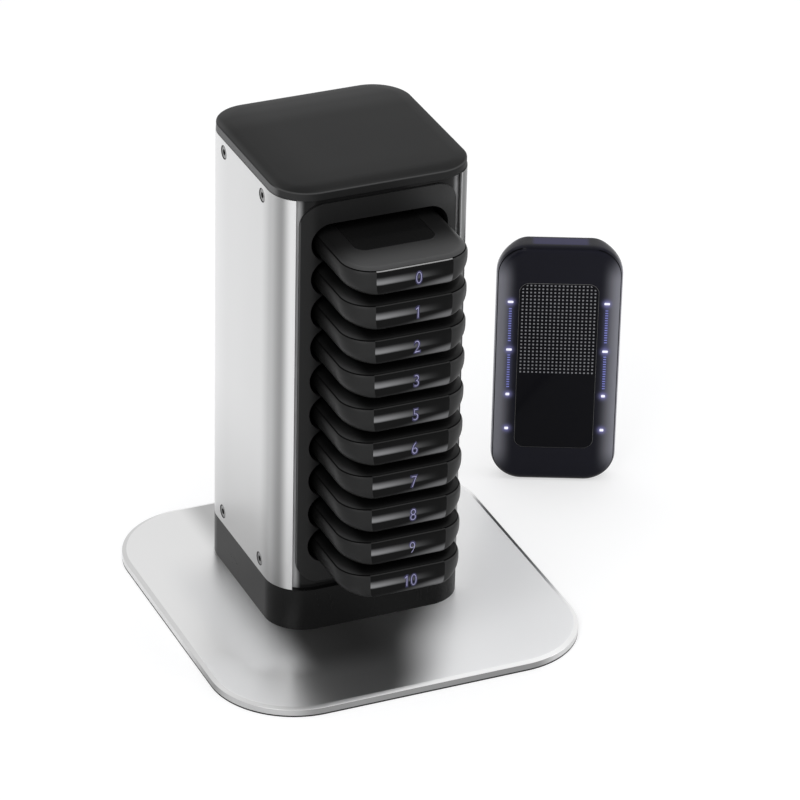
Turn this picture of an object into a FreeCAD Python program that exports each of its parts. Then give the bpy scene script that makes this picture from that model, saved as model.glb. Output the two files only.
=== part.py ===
import FreeCAD, Part
import math
import os

from FreeCAD import Placement, Rotation, Vector

# Guest pager system: a charging tower on a flat metal plate, ten pagers docked in its slots, and one
# more pager that stands on its end beside the plate. Millimetres, +Z up. The origin is the centre of
# the plate on the surface that the system stands on, +X runs to the right along the slotted front,
# and -Y points out of the front.

# ---- driving dimensions -------------------------------------------------------------------------
# plate and pad
plate_width = 218.0
plate_depth = 229.0
plate_corner_radius = 48.5
plate_thickness = 4.5
plate_bevel = 0.8
pad_thickness = 0.8
pad_inset = 2.0

# column
column_width = 115.0
column_depth = 117.5
column_corner_radius = 22.3
column_setback = 20.3          # column's centre behind the plate's centre
plinth_height = 25.6
plinth_wall = 3.0
deck_thickness = 2.5
panel_wall = 2.0
panel_wrap = 9.3               # how far each side panel reaches in from the column's side
cap_height = 5.9
cap_inset = 0.35
cap_wall = 2.5
cap_edge_radius = 0.8
crown_run = 8.0                # width of the slope round the cap's flat top
crown_rise = 1.3
rail_height = 14.0
rail_wall = 3.0

# pagers
pager_width = 73.5
pager_length = 154.9
pager_thickness = 16.2
pager_corner_radius = 18.5
pager_lower_radius = 2.5
pager_upper_radius = 4.5
pager_side_radius = 9.0        # undercut along the two long sides
pager_wall = 1.5
seam_drop = 1.6                # seam between the two shells, below the top face
window_width = 44.5
window_sill = 1.0              # lower edge of the window above the underside
window_depth = 2.5             # how far in from the end the window's opening is cut
face_panel_width = 46.5
face_panel_length = 109.2
face_panel_radius = 6.0
face_panel_thickness = 0.6
face_panel_start = 23.2        # face panel's near edge behind the window end

# slots and rack
pager_numbers = (0, 1, 2, 3, 5, 6, 7, 8, 9, 10)
pager_gap = 4.66               # from one docked pager up to the next
slot_gap_below = 0.4
slot_gap_above = 6.2
slot_gap_side = 3.25
foot_room = 16.26              # lowest pager's underside above the plinth
head_room = 21.9               # panels' top above the uppermost pager
bezel_wall = 3.0
bezel_lap = 2.5                # bezel behind the front edges of the side panels
cover_relief = 1.2             # how far the bezel's and the rear cover's raised fields stand out
field_margin_side = 2.4
field_margin_low = 4.1
field_margin_high = 3.3
field_radius = 13.0
rack_wall = 2.5
rack_side_gap = 3.85
runner_thickness = 2.0
runner_overlap = 12.75         # how far a runner reaches in under the pager
fence_height = 8.0
fence_gap = 0.6
fence_lead_in = 13.0

# boards, contacts and power inlet
board_thickness = 1.6
board_corner_gap = 1.0         # charge board's rear corners to the rear cover, at the least
rear_wall = 2.5
contact_height = 1.8
contact_width = 2.4
contact_reach = 3.6
contact_metal = 0.25
contact_spacing = 12.0
main_board_width = 72.0
main_board_depth = 88.0
main_board_drop = 14.4         # board's top below the deck's underside
post_diameter = 6.0
post_inset = 5.0
tongue_width = 30.0
connector_wall = 1.2
connector_height = 8.0
connector_gap = 0.25           # connector to the plinth's rear wall
inlet_offset = 28.0            # power inlet's centre to the right of the middle
inlet_width = 9.0
inlet_length = 13.0
inlet_height = 11.0
inlet_bore = 6.4
inlet_bore_depth = 10.0
inlet_pin = 2.1
vent_count = 6
vent_width = 46.0
vent_height = 2.4
vent_pitch = 6.0

# screws
screw_head = 7.6
screw_shank = 4.0
screw_length = 8.0
screw_socket = 2.5
screw_socket_depth = 1.2
screw_spacing = 56.0           # between the two screws in a row on a side panel
screw_below_top = 7.0
screw_above_foot = 7.8
screw_boss = 9.0
plate_screw_spread_x = 90.0
plate_screw_spread_y = 84.0
plate_screw_length = 14.0
board_screw_head = 5.0
board_screw_shank = 2.5
board_screw_length = 8.0
board_screw_head_height = 1.5

# inside a pager
pcb_thickness = 1.0
pcb_width = 64.0
pcb_start = 6.0
pcb_end_gap = 8.9              # board's far end from the pager's rear end
pcb_height = 8.5               # board's underside above the pager's underside
battery_width = 46.0
battery_length = 66.0
battery_thickness = 5.4
battery_corner_radius = 2.0
battery_start = 34.0
motor_diameter = 6.0
motor_length = 12.0
motor_end_gap = 36.9           # motor's near end from the pager's rear end
shaft_diameter = 1.0
shaft_length = 5.0
weight_length = 3.6
weight_radius = 2.7
buzzer_diameter = 14.0
buzzer_height = 3.2
buzzer_end_gap = 50.9          # buzzer's middle from the pager's rear end
display_width = 40.0
display_height = 8.6
display_thickness = 2.6
display_low = 3.0              # display's lower edge above the pager's underside
led_width = 3.2
led_length = 1.6
led_height = 1.0
led_offset = 28.1              # LEDs to each side of the pager's centre line
led_station_1 = 35.7           # LEDs behind the window end, four rows
led_station_2 = 67.2
led_station_3 = 96.9
led_station_4 = 119.8
pad_width = 4.0
pad_height = 4.0
post_small = 4.0

# standing pager
standing_x = 165.0
standing_y = 80.0
standing_turn = -23.9          # degrees about the vertical
standing_number = 4

# clearances
seat = 0.3                     # seated pieces lie this far from what carries them
fit = 0.1                      # pieces that fill an opening

# ---- places worked out from them ------------------------------------------------------------------
plate_low = pad_thickness
plate_top = plate_low + plate_thickness
plinth_top = plate_top + plinth_height
deck_low = plinth_top - deck_thickness
slot_height = slot_gap_below + pager_thickness + slot_gap_above
slot_pitch = pager_thickness + pager_gap
slot_width = pager_width + 2 * slot_gap_side
lowest_underside = plinth_top + foot_room
panel_top = lowest_underside + (len(pager_numbers) - 1) * slot_pitch + pager_thickness + head_room
cap_top = panel_top + cap_height
column_front = column_setback - column_depth / 2
column_back = column_setback + column_depth / 2
half_column = column_width / 2
bezel_half = half_column - panel_wrap
corner_x = half_column - column_corner_radius
bezel_setback = panel_wall + fit
rack_inner = pager_width / 2 + rack_side_gap
rack_outer = rack_inner + rack_wall
charge_board_half = rack_inner - seat


def depth_at_corner(inset, x):
    """How far inside the column's front or back plane the corner's arc lies at a sideways place."""
    arc = column_corner_radius - inset
    lean = min(arc, max(0.0, x - corner_x))
    return column_corner_radius - math.sqrt(arc ** 2 - lean ** 2)


depth_for_connector = plinth_wall + connector_gap + connector_wall
depth_for_corners = depth_at_corner(rear_wall, charge_board_half) + board_corner_gap
charge_board_back = column_back - max(depth_for_connector, depth_for_corners)
charge_board_front = charge_board_back - board_thickness
pager_rear = charge_board_front - contact_height - seat
pager_front = pager_rear - pager_length
seam_height = pager_thickness - seam_drop
screw_rows = (plinth_top + screw_above_foot, panel_top - screw_below_top)
screw_places = tuple(column_setback + side * screw_spacing / 2 for side in (-1, 1))
pcb_length = pager_length - pcb_start - pcb_end_gap
motor_start = pager_length - motor_end_gap
main_board_top = deck_low - main_board_drop
main_board_back = column_back - plinth_wall - seat
main_board_front = main_board_back - main_board_depth


# ---- general shapes -------------------------------------------------------------------------------
def box(x0, x1, y0, y1, z0, z1):
    """A block between two corners."""
    return Part.makeBox(x1 - x0, y1 - y0, z1 - z0, Vector(x0, y0, z0))


def rod(diameter, length, base, axis):
    """A cylinder that starts at base and runs along axis."""
    return Part.makeCylinder(diameter / 2, length, base, axis)


def rounded_outline(width, depth, radii, centre, place):
    """A rectangle's outline with one radius per corner, starting at the low left one.

    place turns a pair of coordinates in the outline's plane into a point in space.
    """
    radii = [max(0.01, min(radius, width / 2, depth / 2)) for radius in radii]
    cx, cy = centre
    corners = ((-1, -1, 180), (1, -1, 270), (1, 1, 0), (-1, 1, 90))
    points = []
    for (sx, sy, start), radius in zip(corners, radii):
        mx = cx + sx * (width / 2 - radius)
        my = cy + sy * (depth / 2 - radius)
        for angle in (start, start + 45, start + 90):
            turn = math.radians(angle)
            points.append(place(mx + radius * math.cos(turn), my + radius * math.sin(turn)))
    edges = []
    for corner in range(4):
        first, middle, last = points[3 * corner:3 * corner + 3]
        following = points[(3 * corner + 3) % 12]
        edges.append(Part.Arc(first, middle, last).toShape())
        if last.distanceToPoint(following) > 1e-6:
            edges.append(Part.LineSegment(last, following).toShape())
    return Part.Face(Part.Wire(edges))


def slab(width, depth, radius, z0, z1, centre=(0.0, 0.0)):
    """A flat block with four round corners between two heights."""
    face = rounded_outline(width, depth, (radius,) * 4, centre, lambda x, y: Vector(x, y, z0))
    return face.extrude(Vector(0, 0, z1 - z0))


def upright(width, height, radii, centre, y0, y1):
    """A block with rounded corners seen from the front, between two depths."""
    face = rounded_outline(width, height, radii, centre, lambda x, z: Vector(x, y0, z))
    return face.extrude(Vector(0, y1 - y0, 0))


def column_outline(inset, height):
    """The column's outline as a flat face, drawn in by inset on every side."""
    return rounded_outline(column_width - 2 * inset, column_depth - 2 * inset,
                           (column_corner_radius - inset,) * 4, (0.0, column_setback),
                           lambda x, y: Vector(x, y, height))


def column(inset, z0, z1):
    """The column's form, drawn in by inset on every side."""
    return column_outline(inset, z0).extrude(Vector(0, 0, z1 - z0))


def column_shell(outer, inner, z0, z1):
    """The wall between two insets of the column."""
    return column(outer, z0, z1).cut(column(inner, z0 - 1, z1 + 1))


def fuse(shapes):
    """One solid from several that touch or overlap."""
    return shapes[0].multiFuse(shapes[1:]).removeSplitter()


def mirrored(shape):
    """The same piece for the other side."""
    return shape.mirror(Vector(0, 0, 0), Vector(1, 0, 0))


def edges_at(shape, height):
    """Edges that lie flat at one height."""
    return [edge for edge in shape.Edges
            if abs(edge.BoundBox.ZMin - height) < 1e-4 and abs(edge.BoundBox.ZMax - height) < 1e-4]


def countersunk(head, shank, length, base, axis):
    """A countersunk screw's form: its cone starts at base, and it runs along axis."""
    depth = (head - shank) / 2
    cone = Part.makeCone(head / 2, shank / 2, depth, base, axis)
    return cone.fuse(rod(shank, length, base, axis)).removeSplitter()


def countersunk_screw(length, base, axis):
    """A screw with a hexagon socket in its head."""
    body = countersunk(screw_head, screw_shank, length, base, axis)
    socket = rod(screw_socket, screw_socket_depth, base, axis)
    return body.cut(socket)


def countersunk_hole(length, base, axis):
    """What is cut away for such a screw."""
    return countersunk(screw_head + fit, screw_shank + 2 * fit, length + 2 * fit, base, axis)


nodes = {}

# ---- plate and pad --------------------------------------------------------------------------------
plate_screw_places = [Vector(sx * plate_screw_spread_x / 2, column_setback + sy * plate_screw_spread_y / 2,
                             plate_low) for sx in (-1, 1) for sy in (-1, 1)]


def make_base_plate():
    plate = slab(plate_width, plate_depth, plate_corner_radius, plate_low, plate_top)
    plate = plate.makeChamfer(plate_bevel, edges_at(plate, plate_top))
    for place in plate_screw_places:
        plate = plate.cut(countersunk_hole(plate_screw_length, place, Vector(0, 0, 1)))
    return plate


nodes["base_plate"] = make_base_plate()
nodes["rubber_pad"] = slab(plate_width - 2 * pad_inset, plate_depth - 2 * pad_inset,
                           plate_corner_radius - pad_inset, 0, pad_thickness)
nodes["plate_screws"] = Part.makeCompound([countersunk_screw(plate_screw_length, place, Vector(0, 0, 1))
                                           for place in plate_screw_places])


# ---- plinth, cap and the rails that the side panels are screwed to --------------------------------
def side_rails(z0, z1):
    """Two rails inside the side panels, with a boss behind each screw."""
    outer = half_column - panel_wall - fit
    reach = column_depth / 2 - column_corner_radius
    middle = screw_rows[0] if z0 < screw_rows[0] < z1 else screw_rows[1]
    rail = box(-outer, -outer + rail_wall, column_setback - reach, column_setback + reach, z0, z1)
    bosses = [box(-outer, -outer + screw_boss + rail_wall / 2, place - screw_boss / 2,
                  place + screw_boss / 2, z0, z1) for place in screw_places]
    rail = fuse([rail] + bosses)
    for place in screw_places:
        start = Vector(-half_column, place, middle)
        rail = rail.cut(rod(screw_shank + 2 * fit, screw_length + 2 * fit, start, Vector(1, 0, 0)))
    return [rail, mirrored(rail)]


board_posts = [Vector(sx * (main_board_width / 2 - post_inset), y, main_board_top)
               for sx in (-1, 1)
               for y in (main_board_front + post_inset, main_board_back - 3.5 * post_inset)]


def make_plinth():
    shell = column(0, plate_top, plinth_top).cut(column(plinth_wall, plate_top - 1, deck_low))
    parts = [shell] + side_rails(plinth_top, plinth_top + rail_height)
    for place in plate_screw_places:
        foot = Vector(place.x, place.y, plate_top)
        parts.append(rod(screw_head + 2 * fit + rail_wall, deck_low - plate_top + fit, foot, Vector(0, 0, 1)))
    for place in board_posts:
        parts.append(rod(post_diameter, main_board_drop + fit, place, Vector(0, 0, 1)))
    plinth = fuse(parts)
    for place in plate_screw_places:
        pilot = Vector(place.x, place.y, plate_top - 1)
        plinth = plinth.cut(rod(screw_shank + 2 * fit, plate_screw_length, pilot, Vector(0, 0, 1)))
    for place in board_posts:
        pilot = place - Vector(0, 0, 1)
        plinth = plinth.cut(rod(board_screw_shank + 2 * fit, board_screw_length, pilot, Vector(0, 0, 1)))
    half_tongue = tongue_width / 2 + seat
    plinth = plinth.cut(box(-half_tongue, half_tongue, charge_board_front - seat, charge_board_back + seat,
                            deck_low - 1, plinth_top + 1))
    bore_height = main_board_top + inlet_height / 2
    start = Vector(inlet_offset, column_back - plinth_wall - 1, bore_height)
    return plinth.cut(rod(inlet_bore + 2, plinth_wall + 2, start, Vector(0, 1, 0)))


def make_top_cap():
    shoulder = cap_top - crown_rise
    rims = (column_outline(cap_inset, shoulder), column_outline(cap_inset + crown_run, cap_top))
    crown = Part.makeLoft([rim.OuterWire for rim in rims], True, True)
    top = column(cap_inset, panel_top, shoulder).fuse(crown)
    top = top.makeFillet(cap_edge_radius, edges_at(top, shoulder))
    hollow = column(panel_wall + rail_wall + screw_boss, panel_top - 1, cap_top - cap_wall)
    rib = box(rack_inner - rack_wall, rack_outer + rack_wall, column_front, column_back,
              panel_top - 1, cap_top)
    hollow = hollow.cut(rib).cut(mirrored(rib))
    return fuse([top.cut(hollow)] + side_rails(panel_top - rail_height, panel_top))


nodes["plinth"] = make_plinth()
nodes["top_cap"] = make_top_cap()


# ---- side panels and their screws -----------------------------------------------------------------
def make_left_panel():
    wall = column_shell(0, panel_wall, plinth_top, panel_top)
    wall = wall.common(box(-half_column - 1, -bezel_half - fit, column_front - 1, column_back + 1,
                           plinth_top - 1, panel_top + 1))
    for height in screw_rows:
        for place in screw_places:
            start = Vector(-half_column, place, height)
            wall = wall.cut(countersunk_hole(screw_length, start, Vector(1, 0, 0)))
    return wall


def make_panel_screws():
    screws = []
    for side in (-1, 1):
        for height in screw_rows:
            for place in screw_places:
                start = Vector(side * half_column, place, height)
                screws.append(countersunk_screw(screw_length, start, Vector(-side, 0, 0)))
    return Part.makeCompound(screws)


nodes["side_panel_left"] = make_left_panel()
nodes["side_panel_right"] = mirrored(nodes["side_panel_left"])
nodes["panel_screws"] = make_panel_screws()


# ---- front bezel and rear cover -------------------------------------------------------------------
def underside(place_in_rack):
    """Height of the underside of a docked pager, counted from the top of the rack."""
    return lowest_underside + (len(pager_numbers) - 1 - place_in_rack) * slot_pitch


def faced_cover(setback, wall, half, y_near, y_far):
    """A wall with a raised field, between the side panels, at the front or the back."""
    span = box(-half, half, y_near, y_far, plinth_top, panel_top)
    ground = column_shell(setback + min(cover_relief, wall / 2), setback + wall, plinth_top, panel_top)
    field_low = plinth_top + field_margin_low
    field_high = panel_top - field_margin_high
    outline = upright(2 * (bezel_half - field_margin_side), field_high - field_low, (field_radius,) * 4,
                      (0.0, (field_low + field_high) / 2), y_near, y_far)
    field = column_shell(setback, setback + wall, plinth_top, panel_top).common(outline)
    return fuse([ground.common(span), field])


def make_front_bezel():
    bezel = faced_cover(bezel_setback, bezel_wall, bezel_half + bezel_lap, column_front - 1,
                        column_front + column_corner_radius)
    for place in range(len(pager_numbers)):
        bezel = bezel.cut(slot_cut(underside(place) - slot_gap_below))
    return bezel


def slot_cut(low):
    """One slot above a height, with half circles for ends.

    Neighbouring slots run into each other, so that only a wedge is left between them at each side.
    """
    return upright(slot_width, slot_height, (slot_height / 2,) * 4, (0.0, low + slot_height / 2),
                   column_front - 1, column_front + column_corner_radius)


def make_rear_cover():
    cover = faced_cover(0, rear_wall, bezel_half, column_back - column_corner_radius, column_back + 1)
    for vent in range(vent_count):
        height = plinth_top + foot_room + vent * vent_pitch
        cover = cover.cut(upright(vent_width, vent_height, (vent_height / 2,) * 4, (0.0, height),
                                  column_back - rear_wall - 1, column_back + 1))
    return cover.removeSplitter()


nodes["front_bezel"] = make_front_bezel()
nodes["rear_cover"] = make_rear_cover()


# ---- rack that carries the docked pagers ----------------------------------------------------------
def make_rack_side():
    """The left side of the rack: a wall with a runner and a low fence for each pager."""
    front = column_front + depth_at_corner(bezel_setback + bezel_wall, rack_outer) + seat
    back = column_back - depth_at_corner(rear_wall, rack_outer) - seat
    parts = [box(-rack_outer, -rack_inner, front, back, plinth_top, panel_top)]
    runner_in = pager_width / 2 - runner_overlap
    rear = charge_board_front - seat
    for place in range(len(pager_numbers)):
        top = underside(place) - seat
        parts.append(box(-rack_inner - fit, -runner_in, front, rear, top - runner_thickness, top))
        parts.append(box(-rack_inner - fit, -pager_width / 2 - fence_gap, front + fence_lead_in, rear,
                         top - fit, top + fence_height))
    return fuse(parts)


nodes["rack_side_left"] = make_rack_side()
nodes["rack_side_right"] = mirrored(nodes["rack_side_left"])


# ---- boards, contacts and power inlet -------------------------------------------------------------
def make_charge_board():
    foot = main_board_top + connector_wall + seat
    board = box(-charge_board_half, charge_board_half, charge_board_front, charge_board_back,
                plinth_top + seat, panel_top - rail_height)
    tongue = box(-tongue_width / 2, tongue_width / 2, charge_board_front, charge_board_back, foot,
                 plinth_top + 1)
    return fuse([board, tongue])


def contact_blade(x, z):
    """A sprung contact strip: a flat-topped arch on the charge board."""
    foot, crest, land = contact_reach, contact_reach / 4, contact_reach / 4
    inner = contact_height - contact_metal
    profile = [(0, -foot), (contact_metal, -foot), (contact_height, -crest), (contact_height, crest),
               (contact_metal, foot), (0, foot), (0, foot - land), (inner, crest - contact_metal / 2),
               (inner, contact_metal / 2 - crest), (0, land - foot)]
    points = [Vector(x - contact_width / 2, charge_board_front - out, z + up) for out, up in profile]
    return Part.Face(Part.makePolygon(points + points[:1])).extrude(Vector(contact_width, 0, 0))


def make_connector():
    """The socket on the main board that the charge board's tongue stands in."""
    half = tongue_width / 2 + connector_wall + seat
    block = box(-half, half, charge_board_front - connector_wall, charge_board_back + connector_wall,
                main_board_top, main_board_top + connector_height)
    return block.cut(box(-tongue_width / 2 - fit, tongue_width / 2 + fit, charge_board_front - fit,
                         charge_board_back + fit, main_board_top + connector_wall,
                         main_board_top + connector_height + 1))


def make_main_board():
    low = main_board_top - board_thickness
    board = box(-main_board_width / 2, main_board_width / 2, main_board_front, main_board_back,
                low, main_board_top)
    for place in board_posts:
        base = Vector(place.x, place.y, low - 1)
        board = board.cut(rod(board_screw_shank + 2 * fit, board_thickness + 2, base, Vector(0, 0, 1)))
    return board


def make_board_screws():
    low = main_board_top - board_thickness
    screws = []
    for place in board_posts:
        head = rod(board_screw_head, board_screw_head_height,
                   Vector(place.x, place.y, low - board_screw_head_height), Vector(0, 0, 1))
        shank = rod(board_screw_shank, board_screw_length - 1, Vector(place.x, place.y, low),
                    Vector(0, 0, 1))
        screws.append(head.fuse(shank))
    return Part.makeCompound(screws)


def make_power_inlet():
    """A barrel socket: a block with a round bore and a pin on the bore's axis."""
    mouth = column_back - plinth_wall - fit
    middle = main_board_top + inlet_height / 2
    block = box(inlet_offset - inlet_width / 2, inlet_offset + inlet_width / 2, mouth - inlet_length,
                mouth, main_board_top, main_board_top + inlet_height)
    nose = rod(inlet_bore + 2 - 2 * fit, plinth_wall + fit, Vector(inlet_offset, mouth, middle),
               Vector(0, 1, 0))
    bore = rod(inlet_bore, inlet_bore_depth, Vector(inlet_offset, column_back, middle),
               Vector(0, -1, 0))
    pin = rod(inlet_pin, inlet_bore_depth, Vector(inlet_offset, column_back, middle),
              Vector(0, -1, 0))
    return fuse([block, nose]).cut(bore).fuse(pin)


nodes["charge_board"] = make_charge_board()
nodes["charge_contacts"] = Part.makeCompound([
    contact_blade(side * contact_spacing / 2, underside(place) + pager_thickness / 2)
    for place in range(len(pager_numbers)) for side in (-1, 1)])
nodes["board_connector"] = make_connector()
nodes["main_board"] = make_main_board()
nodes["board_screws"] = make_board_screws()
nodes["power_inlet"] = make_power_inlet()


# ---- a pager, lying face up with its window end at y = 0 ------------------------------------------
def pager_form(inset):
    """The pager's outer form, drawn in by inset on every side: blunt at its ends, undercut at its sides."""
    form = slab(pager_width - 2 * inset, pager_length - 2 * inset, pager_corner_radius - inset,
                inset, pager_thickness - inset, (0.0, pager_length / 2))
    form = form.makeFillet(pager_lower_radius - inset, edges_at(form, inset))
    form = form.makeFillet(pager_upper_radius - inset, edges_at(form, pager_thickness - inset))
    side_radius = pager_side_radius - inset
    height = pager_thickness + pager_side_radius
    sides = upright(pager_width - 2 * inset, height, (side_radius, side_radius, 0, 0),
                    (0.0, inset + height / 2), -1, pager_length + 1)
    return form.common(sides)


def pager_zone(z0, z1, half=None, y0=-1.0, y1=None):
    """A block that picks a stretch of the pager."""
    half = half or pager_width
    return box(-half, half, y0, y1 or pager_length + 1, z0, z1)


def face_panel(gap):
    """The glossy panel in the top face, gap smaller than its recess on every side."""
    return slab(face_panel_width - 2 * gap, face_panel_length - 2 * gap, face_panel_radius - gap,
                pager_thickness - face_panel_thickness, pager_thickness,
                (0.0, face_panel_start + face_panel_length / 2))


def pager_window(shell):
    """The clear end window, cut from the same wall as the lower shell."""
    return shell.common(pager_zone(window_sill + fit, seam_height - fit, window_width / 2 - fit,
                                   y1=window_depth))


def charge_pad(x, diameter_gap):
    """A contact pad that fills its opening in the rear end wall, less a gap."""
    half = pad_width / 2 - diameter_gap
    middle = pager_thickness / 2
    return box(x - half, x + half, pager_length - pager_wall - seat, pager_length,
               middle - pad_height / 2 + diameter_gap, middle + pad_height / 2 - diameter_gap)


def pager_shells():
    """Upper shell with the panel's recess, and lower shell with the window's opening."""
    shell = pager_form(0).cut(pager_form(pager_wall))
    cover = shell.common(pager_zone(seam_height, pager_thickness + 1)).cut(face_panel(0))
    base = shell.common(pager_zone(-1, seam_height))
    base = base.cut(pager_zone(window_sill, seam_height + 1, window_width / 2, y1=window_depth))
    return shell, cover, base


pager_shell, pager_cover, pager_base = pager_shells()
window_pane = pager_window(pager_shell)
panel_pane = face_panel(fit)

# docked pagers
for rack_place, number in enumerate(pager_numbers):
    docked = Placement(Vector(0, pager_front, underside(rack_place)), Rotation())
    nodes["pager_%d_cover" % number] = pager_cover.transformed(docked.toMatrix())
    nodes["pager_%d_base" % number] = pager_base.transformed(docked.toMatrix())
    lenses = Part.makeCompound([window_pane, panel_pane])
    nodes["pager_%d_lenses" % number] = lenses.transformed(docked.toMatrix())


# ---- the standing pager, with what a pager holds --------------------------------------------------
def pcb_posts():
    """Middles of the four posts under a pager's board."""
    half = pcb_width / 2 - post_small
    return [(sx * half, y) for sx in (-1, 1)
            for y in (pcb_start + 3 * post_small, pcb_start + pcb_length - 3 * post_small)]


def make_detailed_base():
    base = pager_base
    for x, y in pcb_posts():
        post = rod(post_small, pcb_height - pager_wall + fit, Vector(x, y, pager_wall - fit), Vector(0, 0, 1))
        base = base.fuse(post)
    for side in (-1, 1):
        base = base.cut(charge_pad(side * contact_spacing / 2, 0))
    return base.removeSplitter()


def make_motor():
    """A small round motor whose shaft points to the pager's rear end."""
    middle = pager_wall + seat + motor_diameter / 2
    can = rod(motor_diameter, motor_length, Vector(0, motor_start, middle), Vector(0, 1, 0))
    shaft = rod(shaft_diameter, shaft_length, Vector(0, motor_start + motor_length, middle),
                Vector(0, 1, 0))
    return can.fuse(shaft)


def make_motor_weight():
    """A half disc on the motor's shaft, with a running clearance in its bore."""
    middle = pager_wall + seat + motor_diameter / 2
    start = Vector(0, motor_start + motor_length + seat, middle)
    disc = rod(2 * weight_radius, weight_length, start, Vector(0, 1, 0))
    upper = box(-weight_radius - 1, weight_radius + 1, start.y - 1, start.y + weight_length + 1,
                middle + shaft_diameter, middle + weight_radius + 1)
    bore = rod(shaft_diameter + fit, weight_length + 2, start - Vector(0, 1, 0), Vector(0, 1, 0))
    return disc.cut(upper).cut(bore)


def standing_nodes():
    """Every piece of the standing pager, still lying face up."""
    pcb = slab(pcb_width, pcb_length, pager_corner_radius - pager_wall, pcb_height,
               pcb_height + pcb_thickness, (0.0, pcb_start + pcb_length / 2))
    floor = pager_wall + seat
    battery = slab(battery_width, battery_length, battery_corner_radius, floor, floor + battery_thickness,
                   (0.0, battery_start + battery_length / 2))
    display_front = pager_wall + seat
    display = box(-display_width / 2, display_width / 2, display_front, display_front + display_thickness,
                  display_low, display_low + display_height)
    top = pcb_height + pcb_thickness
    leds = [box(side * led_offset - led_length / 2, side * led_offset + led_length / 2,
                y - led_width / 2, y + led_width / 2, top, top + led_height)
            for side in (-1, 1) for y in (led_station_1, led_station_2, led_station_3, led_station_4)]
    buzzer = rod(buzzer_diameter, buzzer_height, Vector(0, pager_length - buzzer_end_gap, top),
                 Vector(0, 0, 1))
    pads = [charge_pad(side * contact_spacing / 2, fit) for side in (-1, 1)]
    return {
        "cover": pager_cover,
        "base": make_detailed_base(),
        "window": window_pane,
        "face_panel": panel_pane,
        "circuit_board": pcb,
        "battery": battery,
        "display": display,
        "leds": Part.makeCompound(leds),
        "buzzer": buzzer,
        "vibration_motor": make_motor(),
        "motor_weight": make_motor_weight(),
        "charge_pads": Part.makeCompound(pads),
    }


standing = Placement(Vector(standing_x, standing_y, pager_length), Rotation(Vector(0, 0, 1), standing_turn))
for turn in (Placement(Vector(), Rotation(Vector(0, 1, 0), 180)),
             Placement(Vector(), Rotation(Vector(1, 0, 0), 90)),
             Placement(Vector(0, 0, -pager_thickness / 2), Rotation())):
    standing = standing.multiply(turn)
for piece, shape in standing_nodes().items():
    nodes["pager_%d_%s" % (standing_number, piece)] = shape.transformed(standing.toMatrix())

weight_axis_point = standing.multVec(Vector(0, motor_start + motor_length + seat,
                                            pager_wall + seat + motor_diameter / 2))

# ---- write every node -----------------------------------------------------------------------------
os.makedirs("parts", exist_ok=True)
for name, shape in nodes.items():
    if not shape.isValid():
        raise ValueError("shape is not valid: " + name)
    shape.exportStep("parts/%s.step" % name)
    print("%-26s %2d solid(s) %9.0f mm3" % (name, len(shape.Solids), shape.Volume))
print("nodes:", len(nodes))
print("pager front %.2f, rear %.2f, top underside %.2f" % (pager_front, pager_rear, underside(0)))
print("panel top %.2f, cap top %.2f, slot pitch %.2f" % (panel_top, cap_top, slot_pitch))
print("motor weight axis through", tuple(round(value, 3) for value in weight_axis_point))
print("travel that clears a slot %.2f" % (pager_rear - column_front))
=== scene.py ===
# %% [markdown]
# # A guest pager system
#
# The object is a charging tower on a flat metal plate. Ten pagers lie in its slots, and one more stands
# beside it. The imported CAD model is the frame: it fixes every size and every joint. This lesson builds the
# skins that are seen round that frame, gives everything a finish, and sets up the light and the camera.

# %% Load the frame
import math
from functools import partial
from types import SimpleNamespace as Sizes

import bmesh
import bpy
import numpy as np
from mathutils import Matrix, Vector


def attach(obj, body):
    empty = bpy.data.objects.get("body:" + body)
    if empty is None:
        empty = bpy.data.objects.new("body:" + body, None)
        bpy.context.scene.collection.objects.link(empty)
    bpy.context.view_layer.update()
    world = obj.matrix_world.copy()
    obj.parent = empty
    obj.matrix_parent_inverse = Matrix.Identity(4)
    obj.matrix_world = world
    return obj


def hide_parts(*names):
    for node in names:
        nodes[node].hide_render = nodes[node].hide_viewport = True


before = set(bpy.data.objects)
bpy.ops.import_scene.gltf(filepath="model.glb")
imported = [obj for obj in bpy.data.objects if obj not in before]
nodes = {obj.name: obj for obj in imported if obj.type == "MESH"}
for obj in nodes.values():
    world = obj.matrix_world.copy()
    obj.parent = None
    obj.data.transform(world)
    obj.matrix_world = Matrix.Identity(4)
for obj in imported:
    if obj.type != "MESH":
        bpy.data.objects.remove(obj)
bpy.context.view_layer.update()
scene = bpy.context.scene
MM = 0.001


def placed(name, data):
    """An object with the given data, linked to the scene."""
    item = bpy.data.objects.new(name, data)
    scene.collection.objects.link(item)
    return item


# %% Sizes in mm, worked out from the frame
def coordinates(mesh):
    """The vertices of a mesh as an array."""
    flat = np.empty(len(mesh.vertices) * 3)
    mesh.vertices.foreach_get("co", flat)
    return flat.reshape(-1, 3)


def box(node):
    """Lowest and highest corner of a CAD node in mm, as two rows."""
    matrix = np.array(nodes[node].matrix_world)
    corners = coordinates(nodes[node].data) @ matrix[:3, :3].T + matrix[:3, 3]
    return np.round([corners.min(axis=0) / MM, corners.max(axis=0) / MM], 2)


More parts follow.
